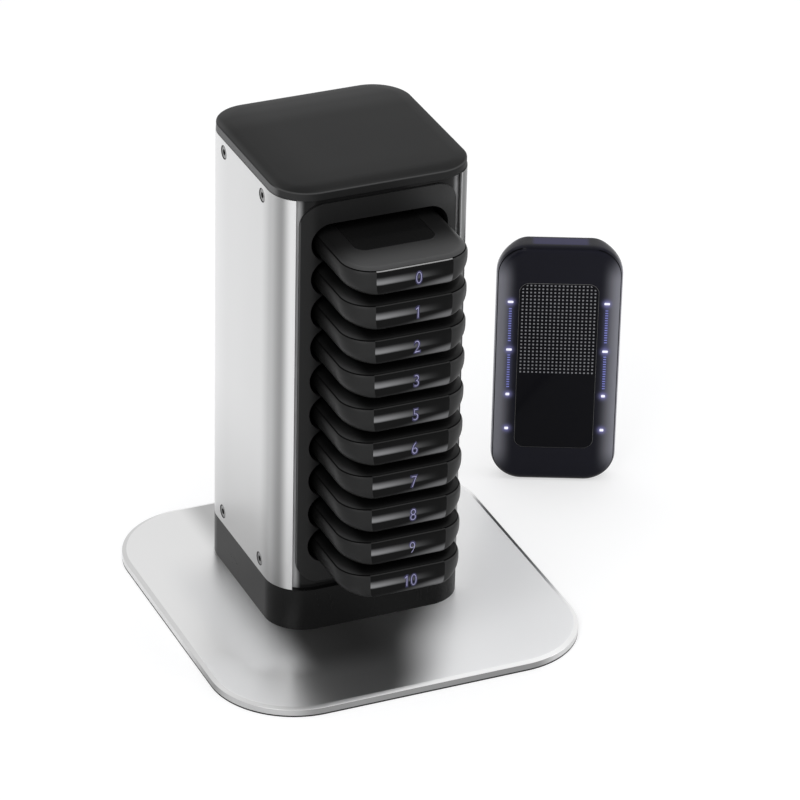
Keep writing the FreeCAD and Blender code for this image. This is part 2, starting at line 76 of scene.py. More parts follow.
low, high = box("base_plate")
PLATE = Sizes(width=high[0] - low[0], depth=high[1] - low[1], radius=48.5, low=low[2], top=high[2], drop=0.9,
              run=2.6)
low, high = box("plinth")
COLUMN = Sizes(width=high[0] - low[0], depth=high[1] - low[1], radius=22.3, setback=(low[1] + high[1]) / 2)
low, high = box("side_panel_left")
COLUMN.low, COLUMN.top = low[2], high[2]
PANEL = Sizes(wall=2.0, edge=-high[0], core=COLUMN.width / 2 - COLUMN.radius,
              front=COLUMN.setback - COLUMN.depth / 2 + COLUMN.radius,
              rear=COLUMN.setback + COLUMN.depth / 2 - COLUMN.radius)
low, high = box("top_cap")
CAP = Sizes(inset=COLUMN.width / 2 - high[0], top=high[2], rise=1.3, run=8.0)
low, high = box("panel_screws")
CAD_HEAD, SPREAD = 3.8, 28.0            # a CAD screw's head radius, and its way from the column's middle
SCREW = Sizes(rows=(low[2] + CAD_HEAD, high[2] - CAD_HEAD), head=3.40, hole=4.15, bore=2.15,
              places=(COLUMN.setback - SPREAD, COLUMN.setback + SPREAD))
low, high = box("pager_0_base")
FRONT, TOP_UNDERSIDE, PITCH = box("pager_0_lenses")[0, 1], low[2], low[2] - box("pager_1_base")[0, 2]
PAGER = Sizes(width=high[0] - low[0], length=high[1] - FRONT, height=box("pager_0_cover")[1, 2] - low[2],
              seam=high[2] - low[2], radius=18.5, low=2.5, high=4.5, side=9.0, wall=1.5, window=44.5,
              sill=1.0)
GLASS = Sizes(width=46.5, length=109.2, radius=6.0, start=23.2, depth=0.6, gap=0.08, bevel=0.18, sunk=0.02)
NUMBERS = (0, 1, 2, 3, 5, 6, 7, 8, 9, 10)
foot = box("pager_4_charge_pads").mean(axis=0)
STAND = Sizes(x=foot[0], y=foot[1], turn=math.radians(-23.9))
print("column", COLUMN.width, "x", COLUMN.depth, "mm, pagers", PAGER.length, "mm long")

# %% [markdown]
# ## The camera
#
# A product picture of this kind is taken with a long lens from far away, so that upright edges stay nearly
# parallel. The camera stands off to the left and above. Its place is written as two angles round the
# object, a roll and a distance, because those are what a photographer sets.

# %% Camera
AZIMUTH, ELEVATION, ROLL = math.radians(-23.92), math.radians(29.0), math.radians(1.33)
DISTANCE, TARGET_HEIGHT = 2683.44, 150.0            # mm
SHIFT_RIGHT, SHIFT_UP = -26.83, 22.14               # mm, how far the target lies from the picture's middle
LENS_PER_SENSOR = 4839.91 / 800                     # focal length as a share of the sensor's width

back = np.array([math.sin(AZIMUTH) * math.cos(ELEVATION), -math.cos(AZIMUTH) * math.cos(ELEVATION),
                 math.sin(ELEVATION)])
right = np.cross(-back, [0, 0, 1])
right /= np.linalg.norm(right)
up = np.cross(right, -back)
cam_right = math.cos(ROLL) * right + math.sin(ROLL) * up
cam_up = -math.sin(ROLL) * right + math.cos(ROLL) * up
eye = np.array([0, 0, TARGET_HEIGHT]) - (SHIFT_RIGHT * cam_right + SHIFT_UP * cam_up - DISTANCE * back)

camera = placed("camera", bpy.data.cameras.new("camera"))
camera.data.sensor_width = 36.0
camera.data.lens = LENS_PER_SENSOR * camera.data.sensor_width
camera.data.clip_end = 20.0
camera.matrix_world = Matrix.Translation(Vector(eye * MM)) @ Matrix(
    np.column_stack([cam_right, cam_up, back]).tolist()).to_4x4()
scene.camera = camera
print("camera at", (eye * MM).round(3), "lens", round(camera.data.lens, 1), "mm")

# %% [markdown]
# ## Floor, backdrop and light
#
# The tower is shown on white. One large floor is enough, because the camera looks down on it. Its colour
# does the whitening: the floor adds a plain white glow of its own to the light that it sends back, so that
# open floor is white, and the shadow under the object is still there. The lamps stay at a plain level.
#
# Masks and shades are sums and products of sockets. So that they read like formulas, a socket is wrapped
# in a small class whose operators add the Math nodes.


# %% Helpers for node trees
class Wire:
    """A node's output in a formula. Each operator adds a Math node to its tree, and | is the maximum."""

    def __init__(self, socket):
        self.socket, self.tree = socket, socket.id_data

    def __rsub__(self, other):
        return calculated("SUBTRACT", other, self)


OPERATORS = {"add": "ADD", "sub": "SUBTRACT", "mul": "MULTIPLY", "truediv": "DIVIDE", "pow": "POWER",
             "or": "MAXIMUM", "lt": "LESS_THAN", "gt": "GREATER_THAN", "abs": "ABSOLUTE"}
for sign, operation in OPERATORS.items():
    setattr(Wire, "__%s__" % sign, lambda *values, operation=operation: calculated(operation, *values))


class Node:
    """A node whose outputs are taken as Wires, by name or by number."""

    def __init__(self, node):
        self.node = node

    def __getitem__(self, key):
        return Wire(self.node.outputs[key])


def add_node(tree, kind, settings=None, **inputs):
    """One shader node. settings are its own properties, and inputs its sockets' values or Wires.

    A socket name's blanks are written as underscores, and a socket can also be named by its number, as i0.
    A colour is three numbers, or one number for a grey.
    """
    node = tree.nodes.new("ShaderNode" + kind)
    for key, value in (settings or {}).items():
        setattr(node, key, value)
    for key, value in inputs.items():
        by_number = key[0] == "i" and key[1:].isdigit()
        socket = node.inputs[int(key[1:]) if by_number else key.replace("_", " ")]
        if isinstance(value, Wire):
            tree.links.new(value.socket, socket)
        elif socket.type == "RGBA":
            socket.default_value = (*value, 1) if isinstance(value, tuple) else (value, value, value, 1)
        else:
            socket.default_value = value
    return Node(node)


def calculated(operation, *values, clamp=False):
    """The Wire of a Math node on one to three Wires or numbers."""
    tree = next(value.tree for value in values if isinstance(value, Wire))
    inputs = {"i%d" % number: value for number, value in enumerate(values)}
    return add_node(tree, "Math", {"operation": operation, "use_clamp": clamp}, **inputs)[0]


def ranged(value, low, high, first=0.0, last=1.0, kind="SMOOTHSTEP"):
    """A Map Range node: value from low to high becomes first to last."""
    return add_node(value.tree, "MapRange", {"interpolation_type": kind}, Value=value, From_Min=low,
                    From_Max=high, To_Min=first, To_Max=last)[0]


def between(value, start, rise_end, fall_start, end):
    """A mask that rises from 0 to 1 over the first two values and falls back over the last two."""
    return ranged(value, start, rise_end) * ranged(value, fall_start, end, 1, 0)


def blended(first, second, factor):
    """Colour first turned towards colour second by a factor. Each is a Wire or a fixed colour."""
    return add_node(factor.tree, "Mix", {"data_type": "RGBA"}, Factor=factor, i6=first, i7=second)[2]


def times(colour, factor):
    """A colour times a grey, through a Mix node set to multiply."""
    return add_node(colour.tree, "Mix", {"data_type": "RGBA", "blend_type": "MULTIPLY"}, Factor=1.0,
                    i6=colour, i7=factor)[2]


def noise(place, scale, detail, roughness=0.5):
    """The grey of a noise texture at a place."""
    return add_node(place.tree, "TexNoise", Vector=place, Scale=scale, Detail=detail,
                    Roughness=roughness)["Fac"]


def object_place(tree):
    """Object coordinates, which are metres in the common frame."""
    return add_node(tree, "TexCoord")["Object"]


def split(place):
    """The x, y and z of a vector."""
    parts = add_node(place.tree, "SeparateXYZ", Vector=place)
    return parts["X"], parts["Y"], parts["Z"]


def object_axes(tree):
    """The x, y and z of the common frame in mm."""
    return split(add_node(tree, "VectorMath", {"operation": "SCALE"}, i0=object_place(tree),
                          Scale=1 / MM)["Vector"])


def local_axes(tree):
    """The x, y and z of the piece's own coordinates in mm, kept as the attribute local."""
    return split(add_node(tree, "Attribute", {"attribute_name": "local"})["Vector"])


def new_material(name):
    """An empty material and its node tree."""
    material = bpy.data.materials.new(name)
    material.use_nodes = True
    material.node_tree.nodes.clear()
    return material, material.node_tree


# %% Floor
def make_floor(half=3.0, glow=0.56, bounce=0.50, unseen=0.40, fade=(0.45, 1.3)):
    """A square sheet at z = 0: (x, y) = half * (u, v) for u and v of -1 and 1.

    Seen by the camera it glows and bounces light, and fades to plain white between two distances.
    """
    u, v = np.array([-1, 1, 1, -1]), np.array([-1, -1, 1, 1])
    mesh = bpy.data.meshes.new("floor")
    mesh.from_pydata(np.column_stack([half * u, half * v, 0 * u]).tolist(), [], [(0, 1, 2, 3)])
    material, tree = new_material("floor_white")
    near = add_node(tree, "AddShader", i0=add_node(tree, "BsdfDiffuse", Color=bounce)[0],
                    i1=add_node(tree, "Emission", Color=1.0, Strength=glow)[0])[0]
    away = add_node(tree, "VectorMath", {"operation": "LENGTH"}, i0=object_place(tree))["Value"]
    white = add_node(tree, "Emission", Color=1.0, Strength=1.0)[0]
    shown = add_node(tree, "MixShader", Fac=ranged(away, *fade), i1=near, i2=white)[0]
    plain = add_node(tree, "BsdfDiffuse", Color=unseen)[0]
    path = add_node(tree, "LightPath")
    seen = path["Is Camera Ray"] | path["Is Glossy Ray"] | path["Is Transmission Ray"]
    add_node(tree, "OutputMaterial", Surface=add_node(tree, "MixShader", Fac=seen, i1=plain, i2=shown)[0])
    mesh.materials.append(material)
    floor = placed("floor", mesh)
    return floor


floor = make_floor()
print("floor", tuple(round(size, 2) for size in floor.dimensions))

# %% World and lamps
scene.world = bpy.data.worlds.new("studio")
scene.world.use_nodes = True
sky = scene.world.node_tree
sky.nodes.clear()
path = add_node(sky, "LightPath")
sky_height = split(add_node(sky, "TexCoord")["Generated"])[2]
plain = add_node(sky, "Background", Color=(0.97, 0.98, 1.0), Strength=0.62)[0]
glossy = add_node(sky, "Background", Color=1.0, Strength=ranged(sky_height, 0.50, 0.95, 1.0, 0.45))[0]
white = add_node(sky, "Background", Color=1.0, Strength=1.0)[0]
lit = add_node(sky, "MixShader", Fac=path["Is Glossy Ray"], i1=plain, i2=glossy)[0]
add_node(sky, "OutputWorld", Surface=add_node(
    sky, "MixShader", Fac=path["Is Camera Ray"] | path["Is Transmission Ray"], i1=lit, i2=white)[0])

for name, place, aim, size, power in (
        ("key_lamp", (-1.1, -0.9, 1.3), (0, 0, 0.12), (1.0, 1.0), 9.0),
        ("top_lamp", (0.1, 0.3, 1.7), (0, 0, 0.2), (2.3, 2.3), 9.6),
        ("right_lamp", (1.4, -0.5, 0.7), (0, 0, 0.15), (0.5, 1.2), 4.0)):
    lamp = bpy.data.lights.new(name, "AREA")
    lamp.shape, lamp.energy = "RECTANGLE", power
    lamp.size, lamp.size_y = size
    holder = placed(name, lamp)
    holder.location = place
    holder.rotation_euler = (Vector(place) - Vector(aim)).to_track_quat("Z", "Y").to_euler()
scene.view_settings.view_transform = "Standard"
print("lamps:", [lamp.name for lamp in bpy.data.lights])

# %% [markdown]
# ## Finishes
#
# Real surfaces are never one flat colour. Three effects come back in nearly every finish here: a fine grain
# left by the mould or the blasting, faint marks from handling, and a slow change of shade over the piece.
# Each is a node group with named sockets, built once and given other values in every material.


# %% Shader groups
def new_group(name, inputs, outputs, fill):
    """A shader group. inputs holds each input's name and default, outputs each output's name and kind.

    fill takes the group's tree and the inputs' Wires, and returns one Wire for each output.
    """
    group = bpy.data.node_groups.new(name, "ShaderNodeTree")
    for title, value in inputs.items():
        kind = "NodeSocketColor" if isinstance(value, tuple) else "NodeSocketFloat"
        group.interface.new_socket(title, in_out="INPUT", socket_type=kind).default_value = value
    for title, kind in outputs.items():
        group.interface.new_socket(title, in_out="OUTPUT", socket_type="NodeSocket" + kind)
    start, end = Node(group.nodes.new("NodeGroupInput")), group.nodes.new("NodeGroupOutput")
    for title, wire in zip(outputs, fill(group, *[start[title] for title in inputs])):
        group.links.new(wire.socket, end.inputs[title])
    return group


def surface_grain(tree, scale, roughness, spread):
    """Grain: noise at a fine scale, put out as a height, and a roughness that follows it a little."""
    place = object_place(tree)
    fine, broad = noise(place, scale, 3.0, 0.6), noise(place, 24.0, 2.0)
    return calculated("MULTIPLY_ADD", fine + broad - 1.0, spread, roughness, clamp=True), fine


def handling_marks(tree, amount):
    """Marks: thin stretched noise lines where a finger or a cloth went by, as a mask from 0 to 1."""
    place = object_place(tree)
    long = add_node(tree, "Mapping", Vector=place, Rotation=(0.4, 0.9, 0.6), Scale=(260.0, 14.0, 40.0))[0]
    lines = ranged(noise(long, 1.0, 4.0, 0.7), 0.58, 0.72, kind="LINEAR")
    where = ranged(noise(place, 18.0, 1.0), 0.45, 0.65, kind="LINEAR")
    return [calculated("MULTIPLY", lines * where, amount, clamp=True)]


def shade_drift(tree, dark, light, scale):
    """Drift: a colour that wanders slowly between two shades over the piece."""
    return [blended(dark, light, noise(object_place(tree), scale, 2.0))]


GRAIN = new_group("surface_grain", {"Scale": 900.0, "Roughness": 0.4, "Spread": 0.05},
                  {"Roughness": "Float", "Height": "Float"}, surface_grain)
MARKS = new_group("handling_marks", {"Amount": 0.3}, {"Mask": "Float"}, handling_marks)
DRIFT = new_group("shade_drift", {"Dark": (0, 0, 0, 1), "Light": (1, 1, 1, 1), "Scale": 9.0},
                  {"Color": "Color"}, shade_drift)
print("groups:", [group.name for group in bpy.data.node_groups])


# %% One recipe for most finishes
def finish(name, dark, light, rough, grain=900.0, bump=20, marks=0.3, metallic=0.0, drift=9.0,
           spread=0.05, specular=0.5, tint=None, metal=None):
    """A material from the three effects: drifting colour, grain in roughness and height, and marks.

    bump is the grain's height in thousandths of a mm. tint turns the colour into another one, mostly with
    painted light and shade, and metal gives the metallic share where it changes.
    """
    material, tree = new_material(name)
    colour = add_node(tree, "Group", {"node_tree": DRIFT}, Dark=dark, Light=light, Scale=drift)["Color"]
    skin = add_node(tree, "Group", {"node_tree": GRAIN}, Scale=grain, Roughness=rough, Spread=spread)
    worn = add_node(tree, "Group", {"node_tree": MARKS}, Amount=marks)["Mask"]
    roughness = calculated("MULTIPLY_ADD", worn, 0.18, skin["Roughness"], clamp=True)
    lump = add_node(tree, "Bump", Strength=0.5, Distance=bump / 1e6, Height=skin["Height"])[0]
    body = add_node(tree, "BsdfPrincipled", Base_Color=tint(colour) if tint else colour, Roughness=roughness,
                    Metallic=metal(tree) if metal else metallic, Normal=lump, Specular_IOR_Level=specular)
    add_node(tree, "OutputMaterial", Surface=body[0])
    return material


def ramp_of(value, stops):
    """A colour ramp's grey for a value from 0 to 1. stops is a list of (position, grey)."""
    ramp = add_node(value.tree, "ValToRGB", Fac=value)
    ramp.node.color_ramp.interpolation = "EASE"
    marks = ramp.node.color_ramp.elements
    while len(marks) < len(stops):
        marks.new(0.5)
    for mark, (position, level) in zip(marks, stops):
        mark.position, mark.color = position, (level, level, level, 1)
    return ramp["Color"]


# %% Painted light and shade of the tower and the plate, as formulas over x, y and z in mm
PANEL_LENGTH = 110.0
# Stops of the cap's painted light and shade, from its front to its rear.
CAP_STOPS = [(0.0, 0.42), (0.012, 0.36), (0.030, 0.25), (0.063, 0.25), (0.11, 0.38), (0.24, 0.43),
             (0.70, 0.45), (0.84, 0.70), (0.92, 0.94), (1.0, 0.76)]
# Stops of the painted reflections on the left and on the right panel, from each front edge.
LEFT_REFLECTION_STOPS = [(0.0, 0.93), (0.02, 0.94), (0.08, 0.39), (0.15, 0.62), (0.28, 0.86), (0.70, 0.90), (0.90, 1)]
RIGHT_REFLECTION_STOPS = [(0.0, 0.60), (0.012, 0.20), (0.03, 0.13), (0.10, 0.13), (0.16, 0.22), (0.30, 0.84), (0.90, 1)]


def panel_bands(stops):
    """Painted reflections in soft upright bands along the panel's bend, and a painted shade towards its foot.

    stops are pairs of a share of the panel's length, from its front edge, and a grey there.
    """
    def paint(colour):
        x, y, z = local_axes(colour.tree)
        return times(times(colour, ramp_of(x / PANEL_LENGTH, stops)), ranged(z, 30, 135, 0.76, 1))
    return paint


def cap_shade(colour):
    """The cap's painted light and shade: a flat middle, pale rear and dark front slopes, a lit edge."""
    x, y, z = object_axes(colour.tree)
    left = ranged(x, -56.8, -54.5, 1, 0)
    side = left * 2.6 + (ranged(x, -50, -34, 0.83, 0.33) + ranged(x, -5, 30, 0, 0.20))
    depth = (y - COLUMN.setback) / COLUMN.depth + 0.5
    top = ramp_of(depth, CAP_STOPS) * (ranged(x, -50, -22, 0.76, 1) * ranged(x, -56.5, -52.5, 2.1, 1))
    height = z - (CAP.top - CAP.rise)
    edge = between(height, -0.45, -0.25, 0.05, 0.30)
    level = top + (side - top) * ranged(height, -0.25, 0.05, 1, 0)
    return times(colour, level * (1.0 - edge * left * 0.40) + edge * (1.0 - left) * 0.75)


def ground_shade(colour):
    """The ground beside the raised field: a painted light strip towards the panels, black in the middle."""
    x, y, z = object_axes(colour.tree)
    return blended(colour, 0.76, ranged(abs(x), 42.5, 47.0) ** 1.6 * ranged(x, -47.0, -46.7, 0.2, 1))


def field_shade(colour):
    """The raised field: painted light on its rounded upright edges and a pale patch at its upper right."""
    x, y, z = object_axes(colour.tree)
    patch = ranged(x, 0, 42) * ranged(z, 248, 262)
    return blended(blended(colour, 0.040, patch), 0.14, ranged(abs(x), 45.1, 45.9))


def cut_metal(tree):
    """Metallic share of a side panel: its cut front edge is a dull raw face."""
    return ranged(abs(object_axes(tree)[0]), 48.34, 48.52, 0.10, 1)


def plate_wear(tree):
    """Two masks beside the column's dark reflection, right and left of it, where it is painted out.

    Each grows with the distance from a line over the plate: x - 0.7 y = 42.7 mm and x - 0.44 y = 89 mm at
    the right, and x = -44 mm at the left.
    """
    x, y, z = object_axes(tree)
    near = x - 42.7 - y * 0.7 - ranged(y, -105, -60, 12.5, 0)
    right = ranged(near, 0, 40) * ranged(y, -35, -12, 1, 0) | ranged(x - 89.0 - y * 0.44, -36, 2)
    front = ranged(x, -100, -44, 1, 0) ** 2 * ranged(y, -60, -30, 1, 0)
    beside = between(x, -100, -80, -78, -44) * between(y, -86, -58, 20, 70)
    return right, front | beside


def plate_shade(colour):
    """Painted light beside the column's reflection and on the right, painted shadow at the plinth's foot."""
    right, left = plate_wear(colour.tree)
    x, y, z = object_axes(colour.tree)
    foot = ranged(y, -90, -62, 0, 0.42) * between(x, -62, -45, -20, 12)
    # Inside the column's dark reflection: no painted light, and room for the painted shadow at the foot.
    in_column_reflection = 1.0 - (right | left)
    return times(colour, (right * 0.22 + ranged(x, -20, 90, 1, 1.07)) * (1.0 - foot * in_column_reflection))


def plate_metal(tree):
    """Metallic share of the plate: less beside the column's reflection, to mirror less and scatter more."""
    right, left = plate_wear(tree)
    return (right | left) * -0.86 + 0.965


def bevel_shade(colour):
    """The plate's bevel: painted light, brighter from its front left corner to the right."""
    return times(colour, ranged(object_axes(colour.tree)[0], -85, -55, 0.95, 1.36))


def edge_shade(colour):
    """The plate's side face: painted reflections of the bright room at its front corners and its left side.
    """
    x, y, z = object_axes(colour.tree)
    out = abs(x) / (PLATE.width / 2) + abs(y) / (PLATE.depth / 2)
    corner = ranged(out, 1.60, 1.73) * ranged(x, -50, 50, 0.7, 1.2)
    left = ranged(x, -108, -100, 1, 0) * ranged(y, -70, -10, 0, 1.3)
    return times(colour, corner + left + 0.90)


# %% [markdown]
# ## The pagers' shades and clear parts
#
# The end window is a dark glossy pane. It mirrors two soft boxes of the studio: one as a band on the upper
# half that fades to the right, one as a wedge along the lower edge that grows to the right. Both are
# painted as soft masks over the pane's own coordinates. The standing pager is lit, so its shell glows
# round its lamps, and its panel shows a grid of small dots.


# %% Shades of the pagers, mostly painted light and shade, as formulas over their own x, y and z in mm
DOTS = Sizes(pitch_x=2.337, pitch_y=2.284, first=24.7, rows=26, half_width=21.6, cut=19.0, share=0.42)
LAMPS = Sizes(column=28.1, rows=(35.7, 67.2, 96.9, 119.8), reach=2.1,
             sizes=((3.3, 1.5), (3.3, 1.5), (2.3, 1.7), (2.3, 1.7)))


def pager_shade(colour):
    """A pager's shell in painted light and shade: lightest on top near the window end, darker on its sides.
    """
    x, y, z = local_axes(colour.tree)
    back, corner = ranged(y, 6, 35, 1, 0.17), ranged(x, -35, -27, 0.70, 1)
    upright = ranged(z - PAGER.seam, -0.1, 0.1, 0.46, 1) * ranged(z, -2, 7, 0.30, 1)
    down = ranged(object_axes(colour.tree)[2], 30, 240, 0.72, 1, "LINEAR")
    return times(colour, back * upright * corner * down)


def lower_pager_shade(colour):
    """The same under another pager, with painted shade: its top lies dark, except along its left edge."""
    return times(pager_shade(colour), ranged(local_axes(colour.tree)[0], -37, -24, 1.05, 0.10))


def window_paint(colour):
    """The docked window: black, with its two painted reflection bands."""
    x, y, z = local_axes(colour.tree)
    upper = between(z, 6.2, 7.5, 7.8, 11.6) * ranged(x, -24, 18, 1, 0)
    above_wedge = z - ranged(x, -16, 23, 1.0, 5.8, "LINEAR")
    lower = ranged(above_wedge, -2.6, 0.9, 1, 0) * ranged(x, -14, 22, 0.10, 1) * ranged(z, 0.9, 1.7)
    return blended(colour, (0.33, 0.33, 0.335), calculated("MULTIPLY_ADD", lower, 0.64, upper, clamp=True))


def lit_window_paint(colour):
    """The standing window: a dim violet field in its middle, where the number's display lies."""
    x, y, z = local_axes(colour.tree)
    field = ranged(abs(x), 14.5, 17.5, 1, 0) * between(z, 2.5, 4.0, 10.5, 12.0)
    return blended(colour, (0.022, 0.020, 0.065), field)


def dotted_paint(colour):
    """The standing pager's panel: black with grey dots, small squares on a grid with cut first corners."""
    x, y, z = local_axes(colour.tree)
    row = (y - DOTS.first) / DOTS.pitch_y
    across, along = (abs(calculated("FRACT", cell + 0.5) - 0.5) for cell in (x / DOTS.pitch_x, row))
    grid = (row > -0.5) * (row < DOTS.rows - 0.5) * (abs(x) < DOTS.half_width)
    dots = ((across | along) < DOTS.share / 2) * grid * (abs(x) - row * 2.3 < DOTS.cut)
    return blended(colour, (0.34, 0.34, 0.36), dots)


def lit_shell_paint(colour):
    """Painted light on the standing pager's blue-black shell: paler long edges, and a glow by its lamps."""
    x, y, z = local_axes(colour.tree)
    edges = ranged(abs(x), 23.0, 34.5) ** 1.5 * between(y, 4, 22, 132, 152)
    pale = blended(colour, (0.30, 0.30, 0.34), edges)
    face = ranged(z, 13.0, 15.5)
    beside, near = abs(x) - LAMPS.column, abs(y - LAMPS.rows[0])
    for row in LAMPS.rows[1:]:
        near = calculated("MINIMUM", near, abs(y - row))
    steep = -1 / LAMPS.reach ** 2
    spot = calculated("EXPONENT", (beside * beside + near * near) * steep) * face
    stripe = calculated("EXPONENT", beside * beside * (1.6 * steep)) * face * between(y, 34, 42, 90, 98)
    return blended(blended(pale, (0.07, 0.08, 0.26), stripe * 0.40), (0.36, 0.35, 0.78), spot)


def light_material(name, colour, strength=1.0):
    """A lit surface: its colour drifts a little, so that no two spots are quite alike."""
    material, tree = new_material(name)
    swing = ranged(noise(object_place(tree), 300.0, 1.0), 0.3, 0.7, kind="LINEAR")
    shade = blended(tuple(0.86 * part for part in colour), colour, swing)
    body = add_node(tree, "BsdfPrincipled", Base_Color=0.0, Roughness=0.5, Emission_Color=shade,
                    Emission_Strength=strength)
    add_node(tree, "OutputMaterial", Surface=body[0])
    return material


# %% The finishes
SATIN = dict(grain=1500, metallic=1.0, spread=0.03)
PLATE_SATIN = finish("plate_satin", 0.73, 0.77, 0.31, bump=6, marks=0.12, tint=plate_shade,
                     metal=plate_metal, **SATIN)
# plate_bevel is a darker copy of the plate's steel, painted shade, lightened to the right by painted light.
PLATE_BEVEL = finish("plate_bevel", 0.58, 0.66, 0.30, bump=4, marks=0.1, tint=bevel_shade, **SATIN)
PANEL_SATIN = finish("panel_satin", 0.76, 0.79, 0.30, bump=5, marks=0.1,
                     tint=panel_bands(LEFT_REFLECTION_STOPS), **SATIN)
RIGHT_SATIN = finish("right_panel_satin", 0.76, 0.79, 0.30, bump=5, marks=0.1,
                     tint=panel_bands(RIGHT_REFLECTION_STOPS), metal=cut_metal, **SATIN)
# plate_edge is a much darker copy of the plate's steel for its side face: painted shade, with painted
# reflections.
PLATE_EDGE = finish("plate_edge", 0.27, 0.36, 0.34, bump=10, marks=0.2, metallic=1.0, drift=30,
                    tint=edge_shade)
CAP_CHARCOAL = finish("cap_charcoal", 0.048, 0.058, 0.46, grain=1200, bump=10, marks=0.25,
                      specular=0.045, tint=cap_shade)
PLINTH_BLACK = finish("plinth_black", 0.004, 0.006, 0.26, grain=700, bump=4, specular=0.13)
GROUND_GLOSS = finish("ground_gloss", 0.010, 0.014, 0.16, bump=4, marks=0.2, specular=0.12,
                      tint=ground_shade)
# seam_dark: near-black on the lips at the seam between a pager's shells, painted shade in the gap.
SEAM_DARK = finish("seam_dark", 0.002, 0.003, 0.70, specular=0.03, marks=0.0)
# screw_ring: near-black in the gap round each screw head and in its socket, painted shade in these recesses.
SCREW_RING = finish("screw_ring", 0.010, 0.018, 0.45, specular=0.2, marks=0.0)
BEZEL = dict(grain=1100, bump=10, marks=0.2, specular=0.18)
BEZEL_BLACK = finish("bezel_black", 0.010, 0.014, 0.40, **BEZEL)
FIELD_BLACK = finish("field_black", 0.010, 0.014, 0.40, tint=field_shade, **BEZEL)
RACK_BLACK = finish("rack_black", 0.006, 0.010, 0.60, grain=700, marks=0.1, specular=0.2)
PAD_RUBBER = finish("pad_rubber", 0.012, 0.020, 0.80, grain=600, bump=40, marks=0.0, specular=0.2)
SCREW_STEEL = finish("screw_steel", 0.20, 0.30, 0.30, grain=1500, bump=4, metallic=1.0)
SHELL = dict(grain=1300, bump=6, marks=0.25)
PAGER_SHELL = finish("pager_shell", 0.052, 0.064, 0.38, specular=0.14, tint=pager_shade, **SHELL)
# A copy of pager_shell with painted shade, for the pagers that lie under another one.
SHADED_LOWER_SHELL = finish("shaded_lower_shell", 0.052, 0.064, 0.38, specular=0.10, tint=lower_pager_shade, **SHELL)
BOARD_GREEN = finish("board_green", (0.006, 0.045, 0.018), (0.010, 0.070, 0.028), 0.40, grain=800)
CONTACT_GOLD = finish("contact_gold", (0.75, 0.52, 0.22), (0.85, 0.62, 0.30), 0.25, metallic=1.0)
BATTERY_FOIL = finish("battery_foil", 0.45, 0.60, 0.35, metallic=1.0, grain=300)
LAMP_LENS = finish("lamp_lens", (0.75, 0.73, 0.66), (0.85, 0.83, 0.76), 0.25)
GLOSS = dict(grain=500, bump=2, marks=0.2)
PAGER_GLOSS = finish("pager_gloss", 0.006, 0.009, 0.14, specular=0.16, **GLOSS)
PAGER_WINDOW = finish("pager_window", 0.004, 0.006, 0.14, specular=0.07, tint=window_paint, **GLOSS)
LIT_WINDOW = finish("lit_window", (0.005, 0.005, 0.010), (0.008, 0.008, 0.014), 0.12, specular=0.14,
                    tint=lit_window_paint, **GLOSS)
LIT_PANEL = finish("lit_panel", (0.004, 0.004, 0.006), (0.006, 0.006, 0.009), 0.10, specular=0.06,
                   tint=dotted_paint, **GLOSS)
# panel_edge: the pale grey bevel round the standing pager's glossy panel is a painted highlight.
PANEL_EDGE = finish("panel_edge", 0.10, 0.22, 0.25, marks=0.0, drift=40)
LIT_SHELL = finish("lit_shell", (0.005, 0.005, 0.011), (0.008, 0.008, 0.016), 0.22, grain=700,
                   bump=4, marks=0.2, specular=0.12, tint=lit_shell_paint)
# Lit and shaded copies of the window's ledge: a painted highlight on the top pager, painted shade below.
LEDGE_SHINE = finish("ledge_shine", 0.30, 0.38, 0.24, metallic=1.0, bump=0)
LEDGE_DIM = finish("ledge_dim", 0.025, 0.045, 0.30, metallic=1.0, bump=0)
FIGURE_LIGHT = light_material("figure_light", (0.40, 0.39, 0.62))
FIGURE_HALO = light_material("figure_halo", (0.012, 0.010, 0.060))
LAMP_WHITE = light_material("lamp_white", (0.88, 0.88, 1.0), 1.15)
DASH_BLUE = light_material("dash_blue", (0.20, 0.22, 0.62))
print("finishes:", len(bpy.data.materials))

# %% Give every carried-over CAD node its finish
finish_of = {part: material for material, parts in (
    (PLATE_SATIN, "base_plate"), (PAD_RUBBER, "rubber_pad"), (PLINTH_BLACK, "plinth"),
    (CAP_CHARCOAL, "top_cap"), (PANEL_SATIN, "side_panel_left side_panel_right"),
    (BEZEL_BLACK, "front_bezel rear_cover"),
    (SCREW_STEEL, "plate_screws panel_screws board_screws vibration_motor"),
    (RACK_BLACK, "rack_side_left rack_side_right board_connector power_inlet buzzer"),
    (BOARD_GREEN, "charge_board main_board circuit_board"),
    (CONTACT_GOLD, "charge_contacts charge_pads motor_weight"), (BATTERY_FOIL, "battery"),
    (LAMP_LENS, "leds"), (PAGER_GLOSS, "lenses window face_panel display"),
    (PAGER_SHELL, "base cover")) for part in parts.split()}
for name, node in nodes.items():
    part = name.split("_", 2)[2] if name.startswith("pager_") else name
    node.data.materials.clear()
    node.data.materials.append(finish_of[part])
print("CAD nodes with a finish:", len(nodes))

# %% [markdown]
# ## Surfaces from rings
#
# Most pieces here are turned, pressed or moulded forms that can be written as a stack of rings: one closed
# outline, drawn again and again with another inset and another height. A rounded rectangle is kept as two
# arrays. Each point has a foot on the straight core of the outline and a unit direction away from it. A
# ring of another inset is then one line of arithmetic, and its corners stay true arcs.


